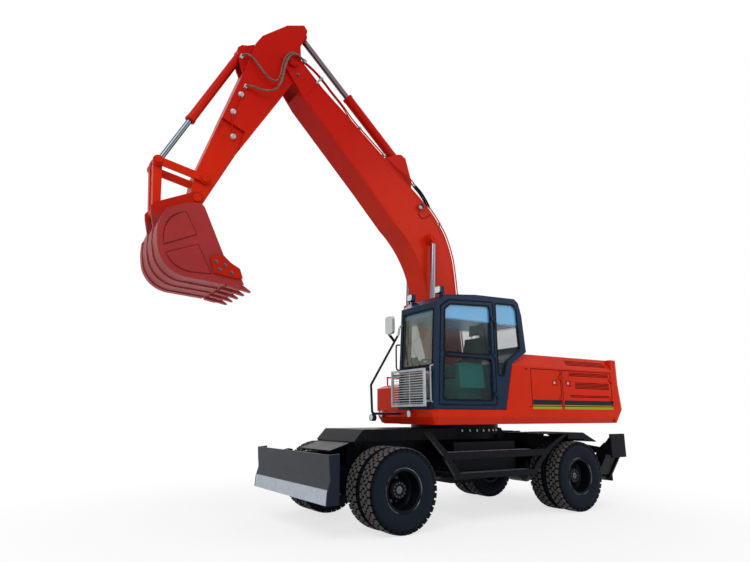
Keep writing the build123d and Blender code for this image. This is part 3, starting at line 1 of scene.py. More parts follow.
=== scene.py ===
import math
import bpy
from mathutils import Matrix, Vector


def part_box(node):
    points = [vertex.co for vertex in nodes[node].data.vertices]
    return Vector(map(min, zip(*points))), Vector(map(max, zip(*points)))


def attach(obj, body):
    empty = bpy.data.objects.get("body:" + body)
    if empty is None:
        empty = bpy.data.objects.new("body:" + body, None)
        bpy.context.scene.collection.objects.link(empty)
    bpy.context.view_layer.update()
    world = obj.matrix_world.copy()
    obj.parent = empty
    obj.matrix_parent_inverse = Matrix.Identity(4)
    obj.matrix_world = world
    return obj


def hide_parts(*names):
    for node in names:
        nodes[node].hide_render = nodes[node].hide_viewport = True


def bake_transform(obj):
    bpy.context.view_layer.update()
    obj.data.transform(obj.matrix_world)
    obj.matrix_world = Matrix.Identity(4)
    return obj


bl_info = {
    "name": "Wheeled Excavator Looks",
    "version": (1, 0, 0),
    "blender": (4, 5, 0),
    "location": "3D View > Sidebar > Excavator",
    "description": "Paint, rubber, glass, hoses and fittings of a twin-tyred wheeled excavator",
    "category": "Object",
}

import bmesh
import bpy
from mathutils import Matrix, Vector

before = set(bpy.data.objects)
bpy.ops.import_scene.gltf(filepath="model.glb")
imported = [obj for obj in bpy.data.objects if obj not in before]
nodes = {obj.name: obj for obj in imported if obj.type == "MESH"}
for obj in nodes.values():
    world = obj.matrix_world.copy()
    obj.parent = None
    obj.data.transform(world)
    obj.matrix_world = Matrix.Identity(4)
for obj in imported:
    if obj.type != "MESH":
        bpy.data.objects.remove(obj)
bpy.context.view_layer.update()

# The swing axis stands this far behind the origin. Side-view places below are (forward of the
# swing axis, up), as on a maker's drawing, in metres.
SWING_X = -1.080


def at(forward, y, up):
    """A place given forward of the swing axis, as a point of the scene."""
    return Vector((SWING_X + forward, y, up))


# Shader maths


class Signal:
    """A socket of a material's node tree, which takes part in Python arithmetic."""

    def __init__(self, tree, socket):
        self.tree = tree
        self.socket = socket

    def node(self, kind, settings=None, output=0, **inputs):
        """Add a node, set it up, then feed its sockets with values or other signals."""
        made = self.tree.nodes.new(kind)
        for name, value in (settings or {}).items():
            if name == "stops":
                ramp = made.color_ramp
                while len(ramp.elements) < len(value):
                    ramp.elements.new(1.0)
                for element, (place, colour) in zip(ramp.elements, value):
                    element.position = place
                    element.color = colour
            else:
                setattr(made, name, value)
        for name, value in inputs.items():
            numbered = name[0] == "i" and name[1:].isdigit()
            key = int(name[1:]) if numbered else name.replace("_", " ")
            target = made.inputs[key]
            if isinstance(value, Signal):
                self.tree.links.new(value.socket, target)
            else:
                target.default_value = value
        return Signal(self.tree, made.outputs[output])

    def maths(self, operation, other=0.0, third=0.0):
        """A Math node on this signal, a second value and a third."""
        return self.node("ShaderNodeMath", {"operation": operation}, i0=self, i1=other, i2=third)

    def __add__(self, other):
        return self.maths("ADD", other)

    __radd__ = __add__

    def __mul__(self, other):
        return self.maths("MULTIPLY", other)

    __rmul__ = __mul__

    def __sub__(self, other):
        return self.maths("SUBTRACT", other)

    def __rsub__(self, other):
        return (self * -1.0) + other

    def above(self, level, soft=0.001):
        """1 where this signal is above a level, with a soft step."""
        return self.node("ShaderNodeMapRange", {"interpolation_type": "SMOOTHSTEP"},
                         Value=self, From_Min=level - soft, From_Max=level + soft)

    def between(self, low, high, soft=0.001):
        """1 where this signal lies between two levels."""
        return self.above(low, soft) * (1.0 - self.above(high, soft))

    def colours(self, *stops):
        """A colour ramp along this signal."""
        return self.node("ShaderNodeValToRGB", {"stops": stops}, Fac=self)


def mixed(factor, first, second):
    """Two colours mixed by a factor."""
    made = factor.tree.nodes.new("ShaderNodeMix")
    made.data_type = "RGBA"
    factor.tree.links.new(factor.socket, made.inputs[0])
    for key, value in ((6, first), (7, second)):
        if isinstance(value, Signal):
            factor.tree.links.new(value.socket, made.inputs[key])
        else:
            made.inputs[key].default_value = value
    return Signal(factor.tree, made.outputs[2])


class Finish:
    """One finish: a material with its shader, and the signals that its pattern is made from."""

    made = {}

    def __init__(self, name, colour, roughness, metallic=0.0, coat=0.0, gloss=0.07):
        self.material = bpy.data.materials.new(name)
        self.material.use_nodes = True
        self.material.diffuse_color = colour
        self.tree = self.material.node_tree
        self.shader = self.tree.nodes["Principled BSDF"]
        self.shader.inputs["Base Color"].default_value = colour
        self.shader.inputs["Roughness"].default_value = roughness
        self.shader.inputs["Metallic"].default_value = metallic
        self.shader.inputs["Coat Weight"].default_value = coat
        self.shader.inputs["Specular IOR Level"].default_value = gloss
        place = self.tree.nodes.new("ShaderNodeTexCoord")
        self.place = Signal(self.tree, place.outputs["Object"])
        Finish.made[name] = self.material

    def axes(self):
        """The object coordinate's x, y and z."""
        split = self.tree.nodes.new("ShaderNodeSeparateXYZ")
        self.tree.links.new(self.place.socket, split.inputs[0])
        return [Signal(self.tree, output) for output in split.outputs]

    def noise(self, scale, detail=3.0, roughness=0.5):
        """Cloudy noise at a scale of so many cells a metre."""
        return self.place.node("ShaderNodeTexNoise", None, 0, Vector=self.place, Scale=scale,
                               Detail=detail, Roughness=roughness)

    def cells(self, scale):
        """Distance to the nearest of scattered cells."""
        return self.place.node("ShaderNodeTexVoronoi", None, 0, Vector=self.place, Scale=scale)

    def feed(self, socket, signal):
        """Link a signal to one of the shader's sockets."""
        self.tree.links.new(signal.socket, self.shader.inputs[socket])

    def bump(self, height, strength, distance):
        """Raise the surface by a signal."""
        normal = self.place.node("ShaderNodeBump", None, 0, Height=height, Strength=strength,
                                 Distance=distance)
        self.feed("Normal", normal)


def rgb(red, green, blue):
    """A colour written in the usual 0 to 255 screen values, as Blender's linear ones."""
    linear = [c / 12.92 if c <= 0.04045 else ((c + 0.055) / 1.055) ** 2.4
              for c in (red / 255, green / 255, blue / 255)]
    return (*linear, 1.0)


def scaled(colour, share):
    """A colour made darker or lighter."""
    return (*(min(1.0, c * share) for c in colour[:3]), 1.0)


# Sizes and colours that a user would change


def colour_choice(name, description, *screen):
    """A colour that a user can change, given in screen values."""
    return bpy.props.FloatVectorProperty(name=name, description=description, subtype="COLOR",
                                         size=4, default=rgb(*screen), min=0, max=1)


class ExcavatorPaint(bpy.types.PropertyGroup):
    """Colours of the machine's paint."""

    orange: colour_choice(
        "Machine orange", "Paint of the upper structure and the foot of the boom", 200, 38, 6)
    # The arm's darker red stands for the shade on the boom's tip, the stick and the links: painted
    # shade.
    arm: colour_choice(
        "Arm orange", "Redder paint of the boom's tip, the stick and the links", 170, 12, 2)
    # The bucket's duller, redder shell colour is a painted reflection of the sky on its flat
    # plates.
    bucket: colour_choice("Bucket orange", "Paint of the bucket, duller and redder", 152, 46, 46)
    cab: colour_choice("Cab slate", "Paint of the cab's frame", 24, 42, 66)
    carrier: colour_choice(
        "Carrier black", "Paint of the frame, axles and stabilisers", 11, 13, 20)
    blade: colour_choice("Blade grey", "Paint of the dozer blade", 60, 64, 68)
    navy: colour_choice("Stripe navy", "Upper stripe along the engine cover", 30, 28, 44)
    lime: colour_choice("Stripe lime", "Lower stripe along the engine cover", 150, 152, 34)


class ExcavatorTyres(bpy.types.PropertyGroup):
    """Sizes of the tyres' tread."""

    radius: bpy.props.FloatProperty(
        name="Radius", description="Tyre radius out to the tread blocks", subtype="DISTANCE",
        unit="LENGTH", default=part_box("tyres_front_left")[1].z / 2)
    depth: bpy.props.FloatProperty(
        name="Tread depth", description="Height of the tread blocks over the casing",
        subtype="DISTANCE", unit="LENGTH", default=0.026)
    blocks: bpy.props.IntProperty(
        name="Blocks", description="Shoulder blocks round one edge of a tyre", default=36, min=12)


# Mesh helpers


def new_piece(name, mesh, body, finish):
    """Turn a bmesh into an object of the scene that rides on a body."""
    data = bpy.data.meshes.new(name)
    mesh.to_mesh(data)
    mesh.free()
    return add_piece(name, data, body, finish)


def add_piece(name, data, body, finish):
    """Put mesh or curve data into the scene with its finish, riding on a body."""
    piece = bpy.data.objects.new(name, data)
    bpy.context.collection.objects.link(piece)
    data.materials.append(Finish.made[finish])
    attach(piece, body)
    return piece


def smooth(piece, angle=35.0):
    """Smooth shading with sharp edges past an angle."""
    for polygon in piece.data.polygons:
        polygon.use_smooth = True
    piece.data.set_sharp_from_angle(angle=math.radians(angle))


def add_box(mesh, low, high):
    """A box between two corners."""
    low, high = Vector(low), Vector(high)
    turn = Matrix.Translation((low + high) / 2) @ Matrix.Diagonal((*(high - low), 1.0))
    bmesh.ops.create_cube(mesh, size=1.0, matrix=turn)


def add_rod(mesh, start, end, radius, radius_end=None, sides=16):
    """A round rod, or a cone, between two points."""
    start, end = Vector(start), Vector(end)
    run = end - start
    turn = Matrix.Translation((start + end) / 2) @ run.to_track_quat("Z", "Y").to_matrix().to_4x4()
    bmesh.ops.create_cone(mesh, cap_ends=True, segments=sides, radius1=radius,
                          radius2=radius if radius_end is None else radius_end,
                          depth=run.length, matrix=turn)


def add_turned(mesh, place, axis, profile, sides=32):
    """Turn a profile of (distance along the axis, radius) points about an axis through a place."""
    place, axis = Vector(place), Vector(axis).normalized()
    first = axis.orthogonal().normalized()
    second = axis.cross(first)
    rings = []
    for along, radius in profile:
        if radius == 0.0:
            rings.append([mesh.verts.new(place + axis * along)])
            continue
        rings.append([mesh.verts.new(place + axis * along + radius * (
            first * math.cos(2 * math.pi * step / sides)
            + second * math.sin(2 * math.pi * step / sides))) for step in range(sides)])
    for low, high in zip(rings, rings[1:]):
        for step in range(sides):
            after = (step + 1) % sides
            if len(low) == 1:
                mesh.faces.new((low[0], high[after], high[step]))
            elif len(high) == 1:
                mesh.faces.new((low[step], low[after], high[0]))
            else:
                mesh.faces.new((low[step], low[after], high[after], high[step]))


def add_bolt(mesh, place, out, radius, height):
    """A hexagon head on its washer, with the end of its thread, pointing out."""
    place, out = Vector(place), Vector(out).normalized()
    washer = place + out * height * 0.25
    head = place + out * height
    add_rod(mesh, place, washer, radius * 1.3, sides=20)
    add_rod(mesh, washer, head, radius, radius * 0.94, sides=6)
    add_rod(mesh, head, head + out * height * 0.35, radius * 0.5, radius * 0.42, sides=12)


def bevel_piece(piece, width):
    """Round a piece's edges a little with an applied bevel."""
    mesh = bmesh.new()
    mesh.from_mesh(piece.data)
    edges = [edge for edge in mesh.edges if edge.is_manifold and edge.calc_face_angle(0) > 0.8]
    bmesh.ops.bevel(mesh, geom=edges, offset=width, segments=2, affect="EDGES", clamp_overlap=True)
    mesh.to_mesh(piece.data)
    mesh.free()
    smooth(piece)
    return piece


def add_slab(mesh, centre, along, across, halves):
    """A block round a centre, turned so that its first two half sizes lie along two directions."""
    along, across = along.normalized(), across.normalized()
    turn = Matrix((along, across, along.cross(across))).transposed().to_4x4()
    scale = Matrix.Diagonal((*(half * 2 for half in halves), 1.0))
    bmesh.ops.create_cube(mesh, size=1.0, matrix=Matrix.Translation(centre) @ turn @ scale)


def add_pin_cap(mesh, place, out, radius, bolt_count):
    """A chamfered round keeper plate with bolts, over the end of a pin."""
    place, out = Vector(place), Vector(out)
    add_turned(mesh, place - out * 0.001, out,
               ((0.0, radius), (0.008, radius), (0.011, radius * 0.95), (0.011, 0.0)), 32)
    first = out.orthogonal().normalized()
    second = out.cross(first)
    for number in range(bolt_count):
        angle = 2 * math.pi * number / bolt_count + 0.6
        spot = place + (first * math.cos(angle) + second * math.sin(angle)) * radius * 0.62
        add_bolt(mesh, spot + out * 0.010, out, radius * 0.15, radius * 0.13)


def wall_x(foot, head, up):
    """How far forward a leaning wall's face is at a height."""
    return foot[0] + (head[0] - foot[0]) * (up - foot[1]) / (head[1] - foot[1])


def rounded(points, radius, steps=6):
    """A closed outline of corners with each corner turned into a short arc."""
    made = []
    for number, corner in enumerate(points):
        corner = Vector(corner)
        before = (Vector(points[number - 1]) - corner).normalized()
        after = (Vector(points[(number + 1) % len(points)]) - corner).normalized()
        half = before.angle(after) / 2
        reach = radius / math.tan(half)
        start, end = corner + before * reach, corner + after * reach
        middle = corner + (before + after).normalized() * (radius / math.sin(half))
        for step in range(steps + 1):
            spoke = (start - middle).lerp(end - middle, step / steps).normalized()
            made.append(middle + spoke * radius)
    return made


def rounded_box(left, right, low, high, radius):
    """A rounded rectangle's outline."""
    return rounded(((left, low), (right, low), (right, high), (left, high)), radius)


def grown(loop, distance):
    """A closed outline moved outwards by a distance."""
    area = sum(a.x * b.y - b.x * a.y for a, b in zip(loop, loop[1:] + loop[:1]))
    sign = 1 if area > 0 else -1
    made = []
    for number, point in enumerate(loop):
        run = (loop[(number + 1) % len(loop)] - loop[number - 1]).normalized()
        made.append(point + Vector((run.y, -run.x)) * sign * distance)
    return made


def add_band(mesh, outer, inner, place, low, high):
    """A flat ring between two outlines: place turns (a, b, depth) into a point of the scene."""
    rings = [[mesh.verts.new(place(point.x, point.y, depth)) for point in loop]
             for loop, depth in ((outer, low), (outer, high), (inner, high), (inner, low))]
    count = len(outer)
    for number in range(count):
        after = (number + 1) % count
        for near, far in zip(rings, rings[1:] + rings[:1]):
            mesh.faces.new((near[number], near[after], far[after], far[number]))


def add_plate(mesh, loop, place, thick):
    """A flat plate of an outline, with its face a thickness above its back."""
    back, face = ([mesh.verts.new(place(point.x, point.y, depth)) for point in loop]
                  for depth in (-0.001, thick))
    mesh.faces.new(face)
    mesh.faces.new(back[::-1])
    for number in range(len(loop)):
        after = (number + 1) % len(loop)
        mesh.faces.new((back[number], back[after], face[after], face[number]))


def tube_curve(name, points, radius):
    """Curve data of a round tube that runs smoothly through a few points."""
    curve = bpy.data.curves.new(name, "CURVE")
    curve.dimensions = "3D"
    curve.bevel_depth = radius
    curve.bevel_resolution = 4
    curve.resolution_u = 8
    curve.use_fill_caps = True
    spline = curve.splines.new("NURBS")
    spline.points.add(len(points) - 1)
    for point, place in zip(spline.points, points):
        point.co = (*place, 1.0)
    spline.order_u = 3
    spline.use_endpoint_u = True
    return curve


def pipe(name, route, radius, body, finish):
    """A pipe, rail or wire that rides on one body, by a route of (forward, y, up) places."""
    curve = tube_curve(name, [at(*place) for place in route], radius)
    return add_piece(name, curve, body, finish)


def bent_hose(name, route, radius, start, end, finish="hose_rubber"):
    """A hose along a route of (forward, y, up) places, baked into one fixed mesh that rides on no
    body.
    """
    guide = bpy.data.objects.new(f"{name}_guide",
                                 tube_curve(name, [at(*place) for place in route], radius))
    bpy.context.collection.objects.link(guide)
    bpy.context.view_layer.update()
    graph = bpy.context.evaluated_depsgraph_get()
    data = bpy.data.meshes.new_from_object(guide.evaluated_get(graph))
    bpy.data.objects.remove(guide)
    piece = bpy.data.objects.new(name, data)
    bpy.context.collection.objects.link(piece)
    data.materials.clear()
    data.materials.append(Finish.made[finish])
    for polygon in data.polygons:
        polygon.use_smooth = True
    at(*start)
    at(*end)
    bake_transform(piece)
    return piece


# Finishes


def make_paint(name, colour, roughness=0.34, dust=rgb(120, 54, 30), share=0.08, coat=0.02):
    """Sprayed machine paint: slight orange peel, a little dust and slow changes of tone."""
    finish = Finish(name, colour, roughness, coat=coat)
    finish.shader.inputs["Coat Roughness"].default_value = 0.15
    clouds = finish.noise(1.7, 4.0)
    grime = finish.noise(9.0, 6.0, 0.62)
    tone = mixed(clouds.above(0.5, 0.22), scaled(colour, 0.93), scaled(colour, 1.06))
    finish.base = mixed(grime.above(0.62, 0.12) * share, tone, dust)
    finish.feed("Base Color", finish.base)
    finish.feed("Roughness", grime * 0.16 + (roughness - 0.06))
    finish.bump(finish.noise(420.0, 2.0), 0.05, 0.001)
    return finish


def make_oranges(paint):
    """The upper structure's orange, and the arm's, which turns darker red from the boom's foot up
    as painted shade.
    """
    make_paint("machine_orange", tuple(paint.orange))
    arm = make_paint("arm_orange", tuple(paint.orange))
    z = arm.axes()[2]
    colour = tuple(paint.arm)
    # The darker red mixed in with height up the arm is painted shade.
    red = mixed(arm.noise(1.9, 4.0), scaled(colour, 0.94), scaled(colour, 1.08))
    arm.feed("Base Color", mixed(z.above(5.3, 1.5), arm.base, red))


def make_striped_orange(paint):
    """The engine cover's paint, with the navy and the lime stripe along its sides."""
    finish = make_paint("striped_orange", tuple(paint.orange))
    x, y, z = finish.axes()
    forward = x - SWING_X
    panels = forward.between(-1.136, -0.490) + forward.between(-2.440, -1.212)
    run = panels * y.maths("ABSOLUTE").above(1.290)
    with_lime = mixed(run * z.between(1.556, 1.618), finish.base, tuple(paint.lime))
    finish.feed("Base Color", mixed(run * z.between(1.622, 1.696), with_lime, tuple(paint.navy)))


def make_bucket_paint(paint):
    """Bucket paint: duller and redder on the shell as a painted reflection of the sky, orange on
    ears and cutters, scratched.
    """
    finish = make_paint("bucket_orange", tuple(paint.bucket), 0.36, rgb(96, 58, 50), 0.3)
    _, y, z = finish.axes()
    middle = 1.0 - y.maths("ABSOLUTE").above(0.260, 0.01)
    cutters = y.maths("ABSOLUTE").above(0.545, 0.001) * (1.0 - z.above(3.470))
    ears = (middle * z.above(3.980, 0.06)).maths("MAXIMUM", cutters)
    scratches = finish.noise(34.0, 8.0, 0.7)
    worn = mixed(scratches.above(0.66, 0.03) * 0.5, finish.base, rgb(92, 50, 42))
    # The shell keeps its pinker colour, a painted reflection of the sky; ears and cutters show the
    # orange.
    finish.feed("Base Color", mixed(ears, worn, rgb(172, 26, 4)))


def make_blade_paint(paint):
    """Blade paint: grey face, navy end plates, and a lower strip of bare steel, partly a worn
    cutting edge and partly a painted highlight where the face turns up to the light.
    """
    finish = make_paint("blade_paint", tuple(paint.blade), 0.46, rgb(96, 92, 88), 0.2)
    x, y, z = finish.axes()
    ends = y.maths("ABSOLUTE").above(1.166)
    front = x.above(SWING_X + 2.900, 0.01)
    scuffs = finish.noise(22.0, 6.0, 0.6)
    # The lower strip in steel is partly worn cutting edge, partly a painted highlight of the
    # upturned lower face.
    edge = (z + scuffs * 0.016).between(0.240, 0.598, 0.004) * front * (1.0 - ends)
    seam = z.between(0.386, 0.402) * front * (1.0 - ends)
    steel = mixed(scuffs, rgb(150, 156, 166), rgb(196, 204, 214))
    rear = mixed(front, tuple(paint.carrier), finish.base)
    face = mixed(seam, mixed(edge, rear, steel), rgb(58, 60, 66))
    finish.feed("Base Color", mixed(ends, face, rgb(26, 32, 46)))
    finish.feed("Metallic", edge * 0.5)


def make_rod(name, eye, reach, chrome, paint):
    """A ram's chromed rod, with the eye at its end in the machine's paint."""
    rod = Finish(name, chrome, 0.16, metallic=1.0)
    x, _, z = rod.axes()
    across, up = x - (SWING_X + eye[0]), z - eye[1]
    bare = (across * across + up * up).above(reach * reach, reach * 0.04)
    rod.feed("Base Color", mixed(bare, paint, chrome))
    rod.feed("Metallic", bare)
    rod.feed("Roughness", bare * -0.22 + 0.38)


# Finishes that differ in numbers only: name, colour, roughness, metallic, and what varies. Each
# change names its socket, pattern, scale and detail, and then two values: gain and base for
# Roughness, two stops for Base Color, and strength and distance for Normal.
PLAIN_FINISHES = (
    ("chrome", (150, 154, 162), 0.12, 1.0, ("Roughness", "noise", 60.0, 3.0, 0.08, 0.07)),
    ("pin_steel", (92, 95, 102), 0.38, 0.9, ("Roughness", "noise", 30.0, 3.0, 0.25, 0.25),
     ("Normal", "noise", 220.0, 3.0, 0.08, 0.001)),
    ("guard_silver", (168, 172, 174), 0.4, 0.4,
     ("Base Color", "noise", 14.0, 3.0, (0.3, rgb(156, 160, 162)), (0.7, rgb(182, 186, 188))),
     ("Normal", "noise", 300.0, 3.0, 0.06, 0.001)),
    ("worn_steel", (128, 130, 136), 0.42, 0.7,
     ("Base Color", "noise", 40.0, 5.0, (0.35, rgb(96, 98, 104)), (0.7, rgb(150, 152, 158))),
     ("Normal", "noise", 180.0, 3.0, 0.15, 0.001)),
    ("bright_tube", (150, 153, 156), 0.24, 0.85, ("Roughness", "noise", 50.0, 3.0, 0.12, 0.18)),
    # Lock rings: mottled grey, partly worn paint and partly a painted highlight along the rims'
    # edges.
    ("rim_edge", (90, 94, 100), 0.4, 0.3,
     ("Base Color", "noise", 5.0, 4.0, (0.42, rgb(16, 20, 28)), (0.62, rgb(112, 118, 126)))),
    # Bucket seams: dark red, partly weld seams and partly painted shade along the raised panels'
    # edges.
    ("seam_paint", (104, 18, 16), 0.6, 0.0, ("Roughness", "noise", 60.0, 3.0, 0.2, 0.5)),
    ("engine_iron", (52, 54, 56), 0.6, 0.4, ("Normal", "noise", 90.0, 6.0, 0.4, 0.003)),
    ("hose_rubber", (20, 20, 22), 0.55, 0.0, ("Roughness", "noise", 40.0, 3.0, 0.2, 0.45),
     ("Normal", "noise", 260.0, 3.0, 0.12, 0.001)),
    ("hose_sleeve", (98, 86, 72), 0.6, 0.0,
     ("Base Color", "noise", 30.0, 5.0, (0.35, rgb(80, 70, 58)), (0.65, rgb(116, 102, 86))),
     ("Normal", "cells", 300.0, None, 0.25, 0.001)),
    ("trim_black", (17, 18, 21), 0.42, 0.0, ("Roughness", "noise", 30.0, 3.0, 0.14, 0.34),
     ("Normal", "cells", 600.0, None, 0.10, 0.0005)),
    ("seal_rubber", (14, 15, 17), 0.62, 0.0, ("Roughness", "noise", 45.0, 3.0, 0.2, 0.5),
     ("Normal", "noise", 300.0, 3.0, 0.08, 0.0005)),
    ("cab_lining", (30, 32, 36), 0.9, 0.0, ("Normal", "cells", 240.0, None, 0.3, 0.001)),
    ("grip_coating", (26, 26, 28), 0.92, 0.0, ("Normal", "cells", 260.0, None, 0.8, 0.002)),
    ("console_teal", (20, 112, 106), 0.5, 0.0, ("Roughness", "noise", 30.0, 3.0, 0.15, 0.42),
     ("Normal", "cells", 420.0, None, 0.15, 0.0006)),
    ("seam_thread", (24, 26, 28), 0.8, 0.0, ("Normal", "noise", 900.0, 3.0, 0.3, 0.0004)),
    ("lamp_glass", (226, 230, 236), 0.1, 0.0, ("Roughness", "cells", 160.0, None, 0.2, 0.05)),
    ("mirror_glass", (170, 172, 170), 0.08, 1.0, ("Roughness", "noise", 20.0, 3.0, 0.05, 0.05)))
LENS_COAT = 0.6


def make_plain_finishes():
    """Metals, hose rubber, plastics, linings and lamp glass, from their table."""
    for name, colour, roughness, metallic, *changes in PLAIN_FINISHES:
        coat = LENS_COAT if name == "lamp_glass" else 0.0
        finish = Finish(name, rgb(*colour), roughness, metallic, coat)
        for socket, kind, scale, detail, first, second in changes:
            pattern = finish.cells(scale) if kind == "cells" else finish.noise(scale, detail)
            if socket == "Roughness":
                finish.feed(socket, pattern * first + second)
            elif socket == "Base Color":
                finish.feed(socket, pattern.colours(first, second))
            else:
                finish.bump(pattern, first, second)


def make_rubber(sizes):
    """Tyre rubber: brown-grey on the blocks, near black in the grooves as painted shade, navy on
    the walls.
    """
    tyre = Finish("tyre_rubber", rgb(20, 27, 37), 0.72)
    front, rear = ((low + high) / 2 for low, high in map(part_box, (
        "tyres_front_left", "tyres_rear_left")))
    x, _, z = tyre.axes()
    across = (x - (front.x + rear.x) / 2).maths("ABSOLUTE") - (front.x - rear.x) / 2
    up = z - front.z
    out = (across * across + up * up).maths("SQRT")
    crown = out.above(sizes.radius - 0.012, 0.002)
    grime = tyre.noise(16.0, 7.0, 0.6)
    wall = mixed(grime, rgb(15, 21, 31), rgb(25, 33, 43))
    # Near black on the tread floor between the blocks: painted shade.
    groove_shade = out.above(sizes.radius - 0.052, 0.016)
    blocks = mixed(tyre.noise(28.0, 5.0), rgb(66, 63, 63), rgb(94, 90, 87))
    tyre.feed("Base Color", mixed(crown, mixed(groove_shade, wall, rgb(8, 9, 12)), blocks))
    tyre.feed("Roughness", grime * 0.25 + 0.58)
    tyre.bump(tyre.noise(160.0, 4.0), 0.15, 0.002)


def make_seat_cloth():
    """Woven green-black cloth."""
    pad = Finish("seat_cloth", rgb(34, 48, 42), 0.88)
    weave = pad.cells(420.0)
    pad.feed("Base Color", mixed(weave, rgb(24, 36, 32), rgb(46, 62, 54)))
    pad.bump(weave, 0.3, 0.001)


def make_glass():
    """Clear cab glass, lightly dusty, with a sky-blue strip along its top as a painted reflection
    of the sky.
    """
    glass = Finish("cab_glass_tint", rgb(30, 48, 54), 0.04, gloss=0.5)
    x, _, z = glass.axes()
    haze = glass.noise(3.0, 4.0)
    front = x.above(SWING_X + 1.320, 0.005)
    # A sky-blue strip along the top of the side and rear glass: painted reflection of the sky.
    sky_reflection = z.above(2.815, 0.030) * (1.0 - front)
    clear = mixed(front, mixed(haze, rgb(24, 40, 44), rgb(60, 84, 82)), rgb(108, 122, 108))
    glass.feed("Base Color", mixed(sky_reflection, clear, rgb(104, 178, 226)))
    glass.feed("Alpha", sky_reflection * 0.50 + front * 0.28 + haze * 0.10 + 0.13)
    glass.feed("Roughness", haze * 0.05 + 0.02)
    glass.material.surface_render_method = "BLENDED"


def make_mirror_finish():
    """Black rail with a bright mirror housing."""
    rail = Finish("rail_and_mirror", rgb(30, 36, 48), 0.4)
    z = rail.axes()[2]
    housing = z.above(2.628, 0.004)
    shine = rail.noise(9.0, 3.0)
    rail.feed("Base Color", mixed(housing, rgb(26, 32, 44), mixed(shine, rgb(176, 180, 174),
                                                                  rgb(206, 210, 204))))
    rail.feed("Metallic", housing * 0.6)
    rail.feed("Roughness", shine * 0.12 + 0.22)


# Pieces


class EXCAVATOR_OT_finishes(bpy.types.Operator):
    """Make every finish and put it on the machine's own nodes"""

    bl_idname = "excavator.finishes"
    bl_label = "Paint and Finishes"

    def execute(self, context):
        paint = context.scene.excavator_paint
        orange, arm = tuple(paint.orange), tuple(paint.arm)
        make_oranges(paint)
        make_striped_orange(paint)
        make_bucket_paint(paint)
        make_paint("cab_slate", tuple(paint.cab), 0.3, rgb(60, 66, 74), 0.1)
        make_paint("carrier_black", tuple(paint.carrier), 0.38, rgb(34, 34, 38), 0.3)
        make_blade_paint(paint)
        # One chrome on all three rods, in three greys: the darker bucket and arm rods carry painted
        # shade, and the arm rod's pink tint is a painted reflection of the arm's orange.
        make_rod("boom_rod", (0.610, 4.365), 0.115, rgb(124, 118, 130), orange)
        make_rod("arm_rod", (2.990, 7.490), 0.105, rgb(112, 102, 106), arm)
        make_rod("bucket_rod", (5.030, 4.720), 0.100, rgb(96, 104, 112), arm)
        make_plain_finishes()
        make_rubber(context.scene.excavator_tyres)
        make_seat_cloth()
        make_glass()
        make_mirror_finish()
        for name, finish in NODE_FINISHES.items():
            for material_slot in nodes[name].material_slots:
                material_slot.material = Finish.made[finish]
        return {"FINISHED"}


TYRE_WIDTH = 0.275
WHEELS = ("front_left", "front_right", "rear_left", "rear_right")
# Faces of the twin wheels, out from the middle of the machine.
DISC_Y, HUB_END_Y = 1.0365, 1.1805
OUTER_FLANGE_Y, INNER_FLANGE_Y = 1.2865, 0.9465
NODE_FINISHES = {name: finish for finish, names in (
    ("carrier_black", "front_axle knuckle_left knuckle_right tie_rod rear_axle drive_line chassis "
                      "slew_ring steps side_tanks rear_fenders blade_arms blade_links "
                      "blade_ram_barrels leg_left leg_right leg_ram_barrel_left "
                      "leg_ram_barrel_right rims_front_left rims_front_right rims_rear_left "
                      "rims_rear_right"),
    ("machine_orange", "deck counterweight hood_lid fuel_and_oil_tanks tool_box"),
    ("arm_orange", "boom boom_ram_barrels arm_ram_barrel stick bucket_ram_barrel idler_links "
                   "bucket_link"),
    ("striped_orange", "engine_cover pump_door_left pump_door_right radiator_door_left "
                       "radiator_door_right"),
    ("chrome", "blade_ram_rods leg_ram_rod_left leg_ram_rod_right"),
    ("tyre_rubber", "tyres_front_left tyres_front_right tyres_rear_left tyres_rear_right"),
    ("cab_slate", "cab cab_door"), ("cab_glass_tint", "door_glass cab_glass"),
    ("blade_paint", "blade"), ("bucket_orange", "bucket"), ("engine_iron", "engine_block"),
    ("console_teal", "seat_base"), ("guard_silver", "front_guard"),
    ("rail_and_mirror", "mirror_rail"), ("boom_rod", "boom_ram_rods"), ("arm_rod", "arm_ram_rod"),
    ("bucket_rod", "bucket_ram_rod")) for name in names.split()}


